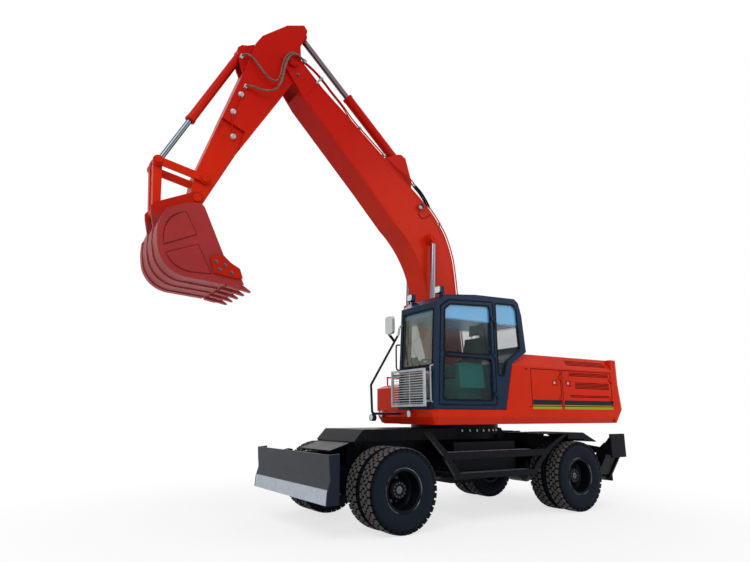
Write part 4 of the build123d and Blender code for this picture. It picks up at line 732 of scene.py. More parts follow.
class EXCAVATOR_OT_tyres(bpy.types.Operator):
    """Give each twin wheel two tyres with deep traction blocks"""

    bl_idname = "excavator.tyres"
    bl_label = "Treaded Tyres"

    def execute(self, context):
        sizes = context.scene.excavator_tyres
        for wheel in WHEELS:
            low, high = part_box(f"tyres_{wheel}")
            centre = (low + high) / 2
            mesh = bmesh.new()
            for y in (low.y + TYRE_WIDTH / 2, high.y - TYRE_WIDTH / 2):
                self.casing(mesh, centre.x, y, centre.z, sizes)
                self.blocks(mesh, centre.x, y, centre.z, sizes)
            bmesh.ops.recalc_face_normals(mesh, faces=mesh.faces)
            piece = new_piece(f"treaded_tyres_{wheel}", mesh, f"wheel_{wheel}", "tyre_rubber")
            smooth(piece, 40.0)
            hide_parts(f"tyres_{wheel}")
        return {"FINISHED"}

    def casing(self, mesh, x, y, z, sizes):
        """Sidewalls, bead and the floor between the tread blocks, as a ring."""
        tread = sizes.radius - sizes.depth
        half = TYRE_WIDTH / 2
        # Half a section, as (metres across, radius), from the bead out to the tread.
        flank = [(0.098, 0.2545), (0.102, 0.272), (0.112, 0.287), (0.127, 0.320), (half, 0.385),
                 (half - 0.003, 0.430), (half - 0.012, 0.462), (half - 0.020, 0.470),
                 (half - 0.022, 0.482), (half - 0.040, tread)]
        profile = [(-across, radius) for across, radius in flank] + flank[::-1]
        count = 96
        rings = []
        for step in range(count):
            angle = 2 * math.pi * step / count
            rings.append([mesh.verts.new((x + radius * math.cos(angle), y + across,
                                          z + radius * math.sin(angle)))
                          for across, radius in profile])
        for step in range(count):
            here, after = rings[step], rings[(step + 1) % count]
            for k in range(len(profile)):
                j = (k + 1) % len(profile)
                mesh.faces.new((here[k], after[k], after[j], here[j]))

    def blocks(self, mesh, x, y, z, sizes):
        """Five-sided shoulder and centre blocks whose points reach into each other's gaps."""
        pitch = 2 * math.pi / sizes.blocks
        floor = sizes.radius - sizes.depth - 0.006
        # A block narrows towards its crown, and its outer edge drops and flares to the shoulder.
        crown_share, crown_drop, foot_drop, foot_flare = 0.965, 0.006, 0.028, 0.014
        # Outlines as (share of a pitch along, metres across), for the outer half of a tyre.
        shoulder = ((-0.37, 0.114), (-0.38, 0.080), (0.0, 0.054), (0.38, 0.080), (0.37, 0.114))
        centre = ((-0.35, 0.009), (0.35, 0.009), (0.38, 0.034), (0.0, 0.054), (-0.38, 0.034))
        for number in range(sizes.blocks):
            for side in (1, -1):
                for outline, shift in ((shoulder, 0.0 if side > 0 else 0.5),
                                       (centre, 0.5 if side > 0 else 1.0)):
                    loops = []
                    for top in (False, True):
                        loop = []
                        for along, across in outline:
                            edge = across > 0.1
                            radius = sizes.radius if top else floor
                            if edge:
                                radius -= crown_drop if top else foot_drop
                            angle = pitch * (number + shift + along * (crown_share if top else 1.0))
                            reach = across + (0.0 if top or not edge else foot_flare)
                            loop.append(mesh.verts.new((x + radius * math.cos(angle),
                                                        y + side * reach,
                                                        z + radius * math.sin(angle))))
                        loops.append(loop)
                    base, top = loops
                    mesh.faces.new(top)
                    mesh.faces.new(base[::-1])
                    for k in range(5):
                        j = (k + 1) % 5
                        mesh.faces.new((base[k], base[j], top[j], top[k]))


class EXCAVATOR_OT_wheel_fittings(bpy.types.Operator):
    """Put wheel nuts, hub bolts and the bright lock rings on the twin wheels; the rings' brightness
    is partly worn paint, partly a painted highlight of the rims' edges.
    """

    bl_idname = "excavator.wheel_fittings"
    bl_label = "Wheel Nuts and Lock Rings"

    def execute(self, context):
        for wheel in WHEELS:
            low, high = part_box(f"rims_{wheel}")
            centre = (low + high) / 2
            side = 1 if centre.y > 0 else -1
            hub = Vector((centre.x, 0, centre.z))
            nuts, rings = bmesh.new(), bmesh.new()
            for place, count, radius, size in ((DISC_Y, 10, 0.148, 0.017),
                                               (HUB_END_Y, 12, 0.086, 0.009)):
                for number in range(count):
                    angle = 2 * math.pi * number / count
                    spot = hub + Vector((radius * math.cos(angle), side * place,
                                         radius * math.sin(angle)))
                    add_bolt(nuts, spot, (0, side, 0), size, size * 1.2)
            face = hub + Vector((0, side * HUB_END_Y, 0))
            add_turned(nuts, face, (0, side, 0),
                       ((0.0, 0.046), (0.006, 0.046), (0.010, 0.040), (0.010, 0.018),
                        (0.018, 0.016), (0.018, 0.0)), 24)
            for edge in (side * OUTER_FLANGE_Y, side * INNER_FLANGE_Y):
                add_turned(rings, hub + Vector((0, edge, 0)), (0, side, 0),
                           ((0.0, 0.270), (0.006, 0.272), (0.007, 0.280), (0.0, 0.282)), 64)
            body = f"wheel_{wheel}"
            smooth(new_piece(f"wheel_nuts_{wheel}", nuts, body, "pin_steel"))
            smooth(new_piece(f"lock_rings_{wheel}", rings, body, "rim_edge"))
        return {"FINISHED"}


# Windows and the door's edge in the side view, as (forward, up) corners.
DOOR_LOW = ((0.325, 1.668), (0.325, 2.275), (1.232, 2.275), (1.262, 1.668))
DOOR_HIGH = ((0.325, 2.325), (0.325, 3.072), (1.085, 3.030), (1.195, 2.950), (1.230, 2.325))
REAR_WINDOW = ((0.210, 2.030), (0.090, 2.030), (0.020, 2.262), (-0.275, 2.448), (-0.240, 3.060),
               (-0.180, 3.140), (0.210, 3.125))
RIGHT_WINDOW = ((0.300, 2.000), (-0.020, 2.300), (-0.270, 2.450), (-0.235, 3.060), (1.090, 3.030),
                (1.225, 2.900), (1.290, 2.000))
DOOR_EDGE = ((0.262, 1.608), (0.262, 3.135), (1.110, 3.085), (1.262, 2.985), (1.335, 1.608))
CAB_LEFT, CAB_RIGHT = 1.300, 0.430
SEAT_Y = 0.865
# The front wall leans back between these (forward, up) points, and so does the back wall.
FRONT_FOOT, FRONT_HEAD = (1.420, 1.550), (1.336, 3.040)
BACK_FOOT, BACK_HEAD = (-0.405, 2.417), (-0.348, 2.986)


class EXCAVATOR_OT_window_seals(bpy.types.Operator):
    """Run black rubber seals round every window and round the cab door"""

    bl_idname = "excavator.window_seals"
    bl_label = "Window Seals"

    def execute(self, context):
        for name, body, windows, wall, out in (
                ("door_window_seals", "cab_door", (DOOR_LOW, DOOR_HIGH), CAB_LEFT, 1),
                ("left_window_seal", "house", (REAR_WINDOW,), CAB_LEFT, 1),
                ("right_window_seal", "house", (RIGHT_WINDOW,), CAB_RIGHT, -1)):
            mesh = bmesh.new()
            for window in windows:
                loop = rounded(window, 0.045)
                add_band(mesh, grown(loop, 0.010), grown(loop, -0.014),
                         lambda a, b, depth: at(a, wall + out * depth, b), -0.0005, 0.004)
            self.finish(name, mesh, body)
        for name, foot, head, spans, sides, out in (
                ("front_window_seals", FRONT_FOOT, FRONT_HEAD, ((1.680, 2.090), (2.140, 2.950)),
                 (0.495, 1.235), 1),
                ("back_window_seal", BACK_FOOT, BACK_HEAD, ((2.500, 2.975),), (0.530, 1.200), -1)):
            mesh = bmesh.new()
            for low, high in spans:
                loop = rounded_box(*sides, low, high, 0.030)
                add_band(mesh, grown(loop, 0.010), grown(loop, -0.016),
                         lambda a, b, depth: at(wall_x(foot, head, b) + out * depth, a, b),
                         -0.0005, 0.004)
            self.finish(name, mesh, "house")
        mesh = bmesh.new()
        loop = rounded(DOOR_EDGE, 0.030)
        add_band(mesh, grown(loop, 0.012), grown(loop, 0.002),
                 lambda a, b, depth: at(a, CAB_LEFT + depth, b), -0.0005, 0.003)
        self.finish("door_frame_seal", mesh, "house")
        return {"FINISHED"}

    def finish(self, name, mesh, body):
        bmesh.ops.recalc_face_normals(mesh, faces=mesh.faces)
        smooth(new_piece(name, mesh, body, "seal_rubber"), 30.0)


class EXCAVATOR_OT_cab_fittings(bpy.types.Operator):
    """Add the wiper, grab tube, door handle, catch, levers, pedals, monitor and lining"""

    bl_idname = "excavator.cab_fittings"
    bl_label = "Cab Fittings"

    def execute(self, context):
        self.wiper()
        self.handles()
        self.controls()
        self.lining()
        return {"FINISHED"}

    def wiper(self):
        """Arm and blade of the front wiper, a finger's width off the glass."""
        def on_glass(y, up, off):
            return at(wall_x(FRONT_FOOT, FRONT_HEAD, up) + off, y, up)
        mesh = bmesh.new()
        add_rod(mesh, on_glass(0.700, 2.115, 0.0), on_glass(0.700, 2.115, 0.030), 0.018)
        add_rod(mesh, on_glass(0.700, 2.115, 0.024), on_glass(0.560, 2.560, 0.016), 0.007, 0.004)
        add_rod(mesh, on_glass(0.560, 2.260, 0.006), on_glass(0.560, 2.860, 0.006), 0.006, sides=8)
        for up in (2.340, 2.560, 2.780):
            add_rod(mesh, on_glass(0.560, up - 0.05, 0.010), on_glass(0.560, up + 0.05, 0.010),
                    0.004)
        smooth(new_piece("front_wiper", mesh, "house", "trim_black"))

    def handles(self):
        """Grab tube and bar on the front pillars, the door's handle and its catch."""
        x, y = 1.452, 1.268
        pipe("grab_tube", ((1.412, y, 1.640), (x, y, 1.640), (x, y, 1.700), (x, y, 1.800),
                           (x, y, 1.980), (x, y, 2.080), (x, y, 2.140), (1.386, y, 2.140)),
             0.013, "house", "bright_tube")
        pipe("corner_bar",
             ((1.380, 0.440, 2.500), (1.425, 0.425, 2.500), (1.437, 0.420, 2.480),
              (1.437, 0.420, 2.400), (1.437, 0.420, 2.250), (1.437, 0.420, 2.150),
              (1.425, 0.425, 2.120), (1.390, 0.440, 2.120)), 0.012, "house", "trim_black")
        mesh = bmesh.new()
        add_box(mesh, at(1.140, 1.298, 2.284), at(1.226, 1.306, 2.318))
        add_box(mesh, at(1.150, 1.304, 2.292), at(1.216, 1.320, 2.310))
        bevel_piece(new_piece("door_handle", mesh, "cab_door", "trim_black"), 0.003)
        mesh = bmesh.new()
        add_box(mesh, at(0.196, 1.298, 2.730), at(0.252, 1.308, 2.900))
        add_rod(mesh, at(0.224, 1.307, 2.815), at(0.224, 1.311, 2.815), 0.016)
        bevel_piece(new_piece("door_catch", mesh, "house", "trim_black"), 0.003)

    def controls(self):
        """A lever with its boot on each console, two pedals and a monitor."""
        levers, soft = bmesh.new(), bmesh.new()
        for side in (1, -1):
            foot = at(0.800, SEAT_Y + side * 0.285, 2.195)
            top = foot + Vector((0.020, side * -0.010, 0.150))
            add_turned(soft, foot, (0, 0, 1), ((0.0, 0.048), (0.012, 0.046), (0.020, 0.034),
                                               (0.030, 0.036), (0.038, 0.024), (0.052, 0.020),
                                               (0.060, 0.0)), 24)
            add_rod(levers, foot + Vector((0, 0, 0.045)), top, 0.010)
            add_turned(soft, top - Vector((0, 0, 0.055)), top - foot,
                       ((0.0, 0.014), (0.010, 0.021), (0.060, 0.019), (0.090, 0.024),
                        (0.105, 0.022), (0.112, 0.0)), 20)
        for y in (0.745, 0.985):
            add_rod(levers, at(1.290, y, 1.640), at(1.200, y, 1.760), 0.010)
            add_box(levers, at(1.165, y - 0.045, 1.745), at(1.225, y + 0.045, 1.757))
        new_piece("control_levers", levers, "house", "pin_steel")
        smooth(new_piece("lever_grips", soft, "house", "trim_black"), 50.0)
        mesh = bmesh.new()
        add_box(mesh, at(1.235, 0.520, 2.150), at(1.262, 0.700, 2.300))
        bevel_piece(new_piece("monitor", mesh, "house", "trim_black"), 0.006)

    def lining(self):
        """The dark lining under the roof and the rubber mat on the floor."""
        mesh = bmesh.new()
        add_box(mesh, at(-0.150, 0.480, 3.120), at(1.080, 1.245, 3.135))
        add_box(mesh, at(0.350, 0.480, 1.596), at(1.340, 1.245, 1.604))
        bevel_piece(new_piece("cab_lining", mesh, "house", "cab_lining"), 0.004)


class EXCAVATOR_OT_lamps(bpy.types.Operator):
    """Fit lenses to every lamp, glass to the mirror, and a small work lamp to the boom"""

    bl_idname = "excavator.lamps"
    bl_label = "Lamps and Mirror"

    def execute(self, context):
        lenses, hoods = bmesh.new(), bmesh.new()
        # Round lamps: forward, y, up and radius.
        round_lamps = ((1.460, 0.760, 1.485, 0.044), (1.250, -0.290, 1.485, 0.044),
                       (1.910, 0.470, 1.430, 0.040))
        for x, y, z, radius in round_lamps:
            add_turned(lenses, at(x, y, z), (1, 0, 0),
                       ((-0.001, radius), (0.003, radius), (0.007, radius * 0.8),
                        (0.010, radius * 0.45), (0.011, 0.0)), 32)
            add_turned(hoods, at(x, y, z), (1, 0, 0),
                       ((-0.001, radius + 0.007), (0.009, radius + 0.006), (0.009, radius + 0.001),
                        (-0.001, radius + 0.001)), 32)
        for y in (0.490, 1.190):
            loop = rounded_box(y - 0.052, y + 0.052, 3.198, 3.282, 0.014)
            add_plate(lenses, loop, lambda a, b, depth: at(1.225 + depth, a, b), 0.004)
            add_band(hoods, grown(loop, 0.008), loop, lambda a, b, depth: at(1.225 + depth, a, b),
                     -0.001, 0.008)
        smooth(new_piece("lamp_lenses", lenses, "house", "lamp_glass"))
        smooth(new_piece("lamp_bezels", hoods, "house", "bright_tube"))
        mesh = bmesh.new()
        loop = rounded_box(0.444, 0.620, 2.652, 2.888, 0.034)
        add_plate(mesh, loop, lambda a, b, depth: at(1.600 - depth, a, b), 0.003)
        new_piece("mirror_glass", mesh, "house", "mirror_glass")
        self.boom_lamp()
        return {"FINISHED"}

    def boom_lamp(self):
        """A small black lamp on the boom's left cheek with its wire."""
        mesh = bmesh.new()
        place = at(0.800, BOOM_HALF + 0.045, 4.905)
        add_rod(mesh, at(0.800, BOOM_HALF, 4.880), at(0.800, BOOM_HALF + 0.045, 4.880), 0.010)
        lean = Vector((0.72, 0.12, -0.68)).normalized()
        add_turned(mesh, place - lean * 0.05, lean,
                   ((0.0, 0.0), (0.0, 0.026), (0.020, 0.038), (0.075, 0.050), (0.080, 0.050),
                    (0.080, 0.043), (0.070, 0.040), (0.066, 0.0)), 24)
        smooth(new_piece("boom_lamp", mesh, "boom", "trim_black"))
        mesh = bmesh.new()
        add_turned(mesh, place + lean * 0.018, lean,
                   ((0.0, 0.041), (0.003, 0.041), (0.008, 0.026), (0.010, 0.0)), 24)
        smooth(new_piece("boom_lamp_lens", mesh, "boom", "lamp_glass"))
        y = BOOM_HALF + 0.008
        pipe("boom_lamp_wire",
             ((0.800, y + 0.02, 4.860), (0.850, y, 4.780), (0.760, y, 4.705), (0.680, y, 4.740),
              (0.620, y, 4.790), (0.580, y, 4.800)), 0.005, "boom", "hose_rubber")


HOOD_FACE, MESH_WALL = 1.300, 1.2665
MESH_PITCH, WIRE_RADIUS = 0.0215, 0.0012


class EXCAVATOR_OT_house_fittings(bpy.types.Operator):
    """Add latches, grilles, door seals, tank cap, grip strips and keepers to the upper part"""

    bl_idname = "excavator.house_fittings"
    bl_label = "Upper Structure Fittings"

    def execute(self, context):
        for side, place in ((1, "left"), (-1, "right")):
            face = side * HOOD_FACE
            for kind, x in (("pump_door", -1.010), ("radiator_door", -1.330)):
                door = f"{kind}_{place}"
                mesh = bmesh.new()
                loop = rounded_box(x - 0.048, x + 0.048, 1.942, 1.990, 0.012)
                add_plate(mesh, loop,
                          lambda a, b, depth: at(a, face - side * (0.0035 - depth), b), 0.005)
                bmesh.ops.recalc_face_normals(mesh, faces=mesh.faces)
                smooth(new_piece(f"{kind}_latch_{place}", mesh, door, "machine_orange"))
                mesh = bmesh.new()
                add_turned(mesh, at(x + 0.012, face, 1.966), (0, side, 0),
                           ((0.0, 0.021), (0.007, 0.021), (0.010, 0.018), (0.010, 0.0)), 24)
                smooth(new_piece(f"{kind}_lock_{place}", mesh, door, "guard_silver"))
            self.grille(side, place)
            self.seams(side, place)
        self.top()
        self.pins()
        return {"FINISHED"}

    def grille(self, side, place):
        """Wire mesh and its dark backing behind the radiator door's louvres."""
        mesh = bmesh.new()
        wall = side * MESH_WALL
        for row in range(21):
            z = 1.735 + MESH_PITCH * row
            add_rod(mesh, at(-2.375, wall, z), at(-1.355, wall, z), WIRE_RADIUS, sides=4)
        for step in range(48):
            x = -2.370 + MESH_PITCH * step
            add_rod(mesh, at(x, wall, 1.730), at(x, wall, 2.165), WIRE_RADIUS, sides=4)
        add_box(mesh, at(-2.380, wall - side * 0.004, 1.725),
                at(-1.350, wall - side * 0.006, 2.166))
        new_piece(f"grille_mesh_{place}", mesh, f"radiator_door_{place}", "trim_black")

    def seams(self, side, place):
        """Black rubber in the joints round the side doors, and the small stop ahead of them."""
        mesh = bmesh.new()
        face = side * HOOD_FACE
        sunk, proud = face - side * 0.003, face + side * 0.0012
        for x_low, x_high in ((-1.150, -0.480), (-2.430, -1.190)):
            for x_near, x_far in ((x_low - 0.008, x_low), (x_high, x_high + 0.008)):
                add_box(mesh, at(x_near, sunk, 1.600), at(x_far, proud, 2.170))
            for z_low, z_high in ((1.596, 1.600), (2.170, 2.174)):
                add_box(mesh, at(x_low, sunk, z_low), at(x_high, proud, z_high))
        add_box(mesh, at(-0.400, face - side * 0.001, 2.150),
                at(-0.355, face + side * 0.010, 2.162))
        add_rod(mesh, at(-0.430, face, 1.590), at(-0.430, face + side * 0.008, 1.590), 0.010)
        bmesh.ops.recalc_face_normals(mesh, faces=mesh.faces)
        new_piece(f"door_joint_seals_{place}", mesh, "house", "seal_rubber")

    def top(self):
        """Filler cap, lid handle and non-slip strips on the walkways."""
        mesh = bmesh.new()
        cap = at(-0.150, -1.120, 2.425)
        add_turned(mesh, cap, (0, 0, 1), ((0.0, 0.066), (0.004, 0.074), (0.026, 0.072),
                                         (0.032, 0.064), (0.034, 0.0)), 40)
        for number in range(16):
            angle = math.pi * number / 8
            spoke = Vector((math.cos(angle), math.sin(angle), 0))
            rib = cap + spoke * 0.073
            add_rod(mesh, rib + Vector((0, 0, 0.004)), rib + Vector((0, 0, 0.026)), 0.006, sides=8)
        smooth(new_piece("filler_cap", mesh, "house", "trim_black"))
        mesh = bmesh.new()
        for low, high in (((0.190, -1.270, 1.985), (0.520, -0.580, 1.988)),
                          ((-0.420, -1.250, 2.380), (-0.260, -0.520, 2.383)),
                          ((0.720, -0.400, 1.540), (1.180, -0.130, 1.543)),
                          ((-1.180, -1.100, 2.400), (-0.560, -0.620, 2.403)),
                          ((-1.180, 0.620, 2.400), (-0.560, 1.100, 2.403))):
            add_box(mesh, at(*low), at(*high))
        new_piece("grip_strips", mesh, "house", "grip_coating")
        pipe("lid_handle",
             ((-2.180, -0.120, 2.400), (-2.180, -0.120, 2.436), (-2.180, -0.090, 2.440),
              (-2.180, 0.0, 2.440), (-2.180, 0.090, 2.440), (-2.180, 0.120, 2.436),
              (-2.180, 0.120, 2.400)), 0.008, "hood_lid", "trim_black")

    def pins(self):
        """Keeper plates over the ends of the boom's foot pin."""
        mesh = bmesh.new()
        for side in (1, -1):
            add_pin_cap(mesh, at(0.100, side * 0.297, 1.950), (0, side, 0), 0.072, 3)
        smooth(new_piece("boom_foot_keepers", mesh, "house", "machine_orange"))


class EXCAVATOR_OT_carrier_fittings(bpy.types.Operator):
    """Add step studs, slewing ring bolts and stabiliser pin caps to the carrier"""

    bl_idname = "excavator.carrier_fittings"
    bl_label = "Carrier Fittings"

    def execute(self, context):
        mesh = bmesh.new()
        pitch, row_gap, up = 0.036, 0.032, Vector((0, 0, 0.004))
        for side in (1, -1):
            for x_low, x_high, top in ((-0.545, 1.115, 0.960), (-0.485, 0.885, 0.672)):
                for row in range(5):
                    y = side * (1.005 + row * row_gap)
                    shift = pitch / 2 * (row % 2)
                    for step in range(int((x_high - x_low - 0.02) / pitch)):
                        place = at(x_low + 0.012 + shift + step * pitch, y, top)
                        add_rod(mesh, place - up / 8, place + up, 0.010, 0.007, sides=8)
        new_piece("step_studs", mesh, "carrier", "worn_steel")
        mesh = bmesh.new()
        count, radius = 36, 0.701
        for number in range(count):
            angle = 2 * math.pi * number / count
            spot = at(radius * math.cos(angle), radius * math.sin(angle), 1.2215)
            add_bolt(mesh, spot, (0, 0, 1), 0.0150, 0.031)
        new_piece("ring_bolts", mesh, "carrier", "bright_tube")
        mesh = bmesh.new()
        for side in (1, -1):
            add_pin_cap(mesh, at(-2.340, side * 0.795, 0.430), (1, 0, 0), 0.058, 3)
            add_pin_cap(mesh, at(-2.830, side * 0.795, 0.430), (-1, 0, 0), 0.058, 3)
        smooth(new_piece("leg_pin_keepers", mesh, "carrier", "pin_steel"))
        return {"FINISHED"}


# Half widths of the boom and the stick, whose head above STICK_HEAD_Z is wider.
BOOM_HALF = 0.235
STICK_HALF, STICK_HEAD_HALF, STICK_HEAD_Z = 0.160, 0.200, 5.6
PIPE_Y, PIPE_RADIUS, HOSE_RADIUS, SLEEVE_RADIUS = (0.155, 0.205), 0.011, 0.017, 0.0145
STICK_PIPE_RADIUS = 0.008
WELD_RADIUS, WELD_LIFT = 0.0045, 0.0005


class EXCAVATOR_OT_arm_fittings(bpy.types.Operator):
    """Lay pipes, clips, hoses and weld beads along the boom and stick, and cap the pins"""

    bl_idname = "excavator.arm_fittings"
    bl_label = "Pipes, Hoses and Pin Caps"

    def execute(self, context):
        self.pipes()
        self.hoses()
        self.clamps()
        self.caps()
        self.welds()
        return {"FINISHED"}

    def pipes(self):
        """Two steel pipes over the boom's top edge and two down its back, with hoses between."""
        top = ((3.020, 6.885), (2.890, 6.830), (2.712, 6.700), (2.491, 6.485), (2.306, 6.330),
               (2.122, 6.175), (1.975, 6.060), (1.787, 5.916), (1.509, 5.700), (1.334, 5.590),
               (1.202, 5.520), (1.021, 5.440), (0.933, 5.370), (0.865, 5.300))
        join = ((0.865, 5.300), (0.820, 5.262), (0.740, 5.200), (0.665, 5.110), (0.600, 5.020),
                (0.565, 4.960))
        back = ((0.565, 4.960), (0.457, 4.850), (0.340, 4.700), (0.220, 4.520), (0.125, 4.290),
                (0.050, 4.020), (0.000, 3.460), (-0.050, 2.900), (-0.092, 2.420))
        # Near the elbow the pipes spread outwards, clear of the stick's swing.
        elbow_x = 2.200
        for number, (y, spread) in enumerate(zip(PIPE_Y, (0.063, 0.041)), 1):
            pipe(f"boom_pipe_{number}",
                 [(x, y + (spread if x > elbow_x else 0.0), z) for x, z in top],
                 PIPE_RADIUS, "boom", "arm_orange")
            pipe(f"boom_hose_{number}", [(x, y, z) for x, z in join], HOSE_RADIUS, "boom",
                 "hose_rubber")
            pipe(f"back_pipe_{number}", [(x, y, z) for x, z in back], PIPE_RADIUS, "boom",
                 "arm_orange")

    def hoses(self):
        """The stick's two hoses over the elbow, and four from the deck up to the boom's back."""
        over = ((3.030, 0.225, 6.915), (3.120, 0.255, 6.950), (3.218, 0.285, 6.962),
                (3.330, 0.300, 6.880), (3.398, 0.300, 6.700), (3.420, 0.298, 6.500),
                (3.470, 0.292, 6.365), (3.560, 0.288, 6.350), (3.660, 0.280, 6.420),
                (3.780, 0.262, 6.560), (3.860, 0.235, 6.670), (3.940, 0.175, 6.730),
                (3.975, 0.125, 6.725), (3.985, 0.102, 6.715))
        under = ((3.030, 0.262, 6.895), (3.110, 0.285, 6.922), (3.210, 0.315, 6.925),
                 (3.305, 0.335, 6.845), (3.370, 0.336, 6.680), (3.400, 0.334, 6.480),
                 (3.430, 0.330, 6.320), (3.500, 0.322, 6.200), (3.600, 0.306, 6.148),
                 (3.720, 0.288, 6.140), (3.830, 0.268, 6.165), (3.905, 0.248, 6.172),
                 (3.931, 0.226, 6.163), (3.931, 0.202, 6.163))
        for number, route in enumerate((over, under), 1):
            bent_hose(f"elbow_hose_{number}", route, SLEEVE_RADIUS,
                      (3.16, 0.27, 6.94), (3.70, 0.27, 6.40), "hose_sleeve")
        for number, y in enumerate((-0.165, -0.055, 0.055, 0.165)):
            lean = 0.010 * number
            route = ((-0.300, y, 1.541), (-0.310, y, 1.640), (-0.345 - lean, y, 1.780),
                     (-0.370 - lean, y, 2.000), (-0.340 - lean, y, 2.220), (-0.240, y, 2.400),
                     (-0.140, y, 2.440), (-0.075, y, 2.380), (-0.030, y, 2.300), (0.010, y, 2.290))
            bent_hose(f"foot_hose_{number + 1}", route, HOSE_RADIUS,
                      (-0.33, y, 1.75), (-0.13, y, 2.42))

    def clamps(self):
        """Silver clips on the pipes, the block at the elbow and round clamps on the stick."""
        mesh = bmesh.new()
        across = Vector((0, 1, 0))
        # Clips: forward, y, up, and the length of the leg that reaches down to the boom.
        for x, y, z, reach in ((2.712, 0.232, 6.700, 0.150), (1.975, 0.180, 6.060, 0.085),
                               (1.509, 0.180, 5.700, 0.085), (0.340, 0.180, 4.700, 0.130),
                               (0.000, 0.180, 3.460, 0.085)):
            along = Vector((0.78, 0, 0.62)) if x > 0.5 else Vector((0.35, 0, 0.94))
            out = along.cross(across).normalized()
            centre = at(x, y, z)
            half = 0.030 if y > 0.2 else 0.047
            add_slab(mesh, centre, along, across, (0.026, half, 0.017))
            add_slab(mesh, centre - out * reach / 2, along, across, (0.018, 0.020, reach / 2))
        add_slab(mesh, at(3.020, 0.240, 6.890), Vector((0.73, 0, 0.68)), across,
                 (0.030, 0.033, 0.028))
        for y in PIPE_Y:
            add_rod(mesh, at(0.895, y, 5.333), at(0.850, y, 5.288), 0.019, sides=6)
            add_rod(mesh, at(0.580, y, 4.985), at(0.553, y, 4.943), 0.019, sides=6)
        bevel_piece(new_piece("pipe_clips", mesh, "boom", "bright_tube"), 0.003)
        mesh = bmesh.new()
        for x, y, z in ((3.990, 0.200, 6.014), (4.090, 0.200, 5.705), (4.056, 0.160, 5.340)):
            add_turned(mesh, at(x, y, z), across,
                       ((-0.001, 0.042), (0.016, 0.042), (0.022, 0.036), (0.030, 0.034),
                        (0.034, 0.028), (0.034, 0.0)), 28)
            add_bolt(mesh, at(x, y + 0.033, z), across, 0.011, 0.009)
        down_stick = Vector((0.3, 0, -1))
        add_slab(mesh, at(3.931, 0.214, 6.163), down_stick, across, (0.030, 0.015, 0.024))
        add_slab(mesh, at(3.985, 0.108, 6.705), down_stick, across, (0.035, 0.010, 0.026))
        bevel_piece(new_piece("stick_clamps", mesh, "stick", "guard_silver"), 0.002)
        pipe("stick_pipe_upper",
             ((3.938, 0.216, 6.140), (3.955, 0.216, 6.090), (3.990, 0.216, 6.014),
              (4.040, 0.216, 5.860), (4.090, 0.216, 5.705), (4.100, 0.216, 5.620)),
             STICK_PIPE_RADIUS, "stick", "arm_orange")
        pipe("stick_pipe_lower",
             ((4.100, 0.216, 5.620), (4.100, 0.212, 5.560), (4.088, 0.185, 5.480),
              (4.070, 0.176, 5.420), (4.056, 0.176, 5.340), (4.050, 0.176, 5.280)),
             STICK_PIPE_RADIUS, "stick", "arm_orange")

    def caps(self):
        """Keeper plates over the ends of the pins on the boom, stick and idler links."""
        for name, body, ends in (
                ("elbow_keepers", "boom", (((3.215, 6.800), 0.265, 0.068),)),
                ("stick_keepers", "stick", (((4.410, 4.600), 0.210, 0.055),
                                            ((4.500, 4.300), 0.210, 0.058))),
                ("link_keepers", "idler_links", (((5.030, 4.720), 0.220, 0.048),))):
            mesh = bmesh.new()
            for (x, z), y, radius in ends:
                for side in (1, -1):
                    add_pin_cap(mesh, at(x, side * y, z), (0, side, 0), radius, 3)
            smooth(new_piece(name, mesh, body, "arm_orange"))
        mesh = bmesh.new()
        for side in (1, -1):
            inner, face, head = (at(3.123, side * (BOOM_HALF + lift), 6.624)
                                 for lift in (-0.001, 0.011, 0.012))
            add_rod(mesh, inner, head, 0.030, 0.027)
            add_bolt(mesh, face, (0, side, 0), 0.017, 0.014)
        smooth(new_piece("keeper_bolts", mesh, "boom", "pin_steel"))

    def welds(self):
        """Weld beads where side plates meet the boom's and the stick's top and bottom plates."""
        top = ((0.080, 3.450), (0.160, 4.000), (0.240, 4.250), (0.360, 4.500), (0.530, 4.760),
               (0.760, 5.000), (1.020, 5.210), (2.045, 6.008), (2.685, 6.495), (3.000, 6.785))
        low = ((0.300, 2.200), (0.745, 3.700), (0.830, 3.920), (0.960, 4.160), (1.130, 4.350),
               (1.300, 4.530), (1.830, 5.100), (2.940, 6.232))
        fork = ((2.990, 6.300), (2.940, 6.360), (2.880, 6.440), (2.800, 6.560))
        front = ((3.840, 6.740), (3.905, 6.480), (4.110, 5.870), (4.292, 5.320))
        back = ((3.330, 6.250), (3.420, 6.120), (4.020, 5.090), (4.360, 4.410))
        for body, routes, face in (
                ("boom", (top, low, fork), lambda z: BOOM_HALF),
                ("stick", (front, back),
                 lambda z: STICK_HEAD_HALF if z > STICK_HEAD_Z else STICK_HALF)):
            for side, name in ((1, "left"), (-1, "right")):
                for number, route in enumerate(routes, 1):
                    pipe(f"{body}_weld_{name}_{number}",
                         [(x, side * (face(z) + WELD_LIFT), z) for x, z in route],
                         WELD_RADIUS, body, "arm_orange")


TOOTH_PITCH = (1.070 - 0.092) / 4
BUCKET_FACE, CUTTER_FACE = 0.535, 0.561


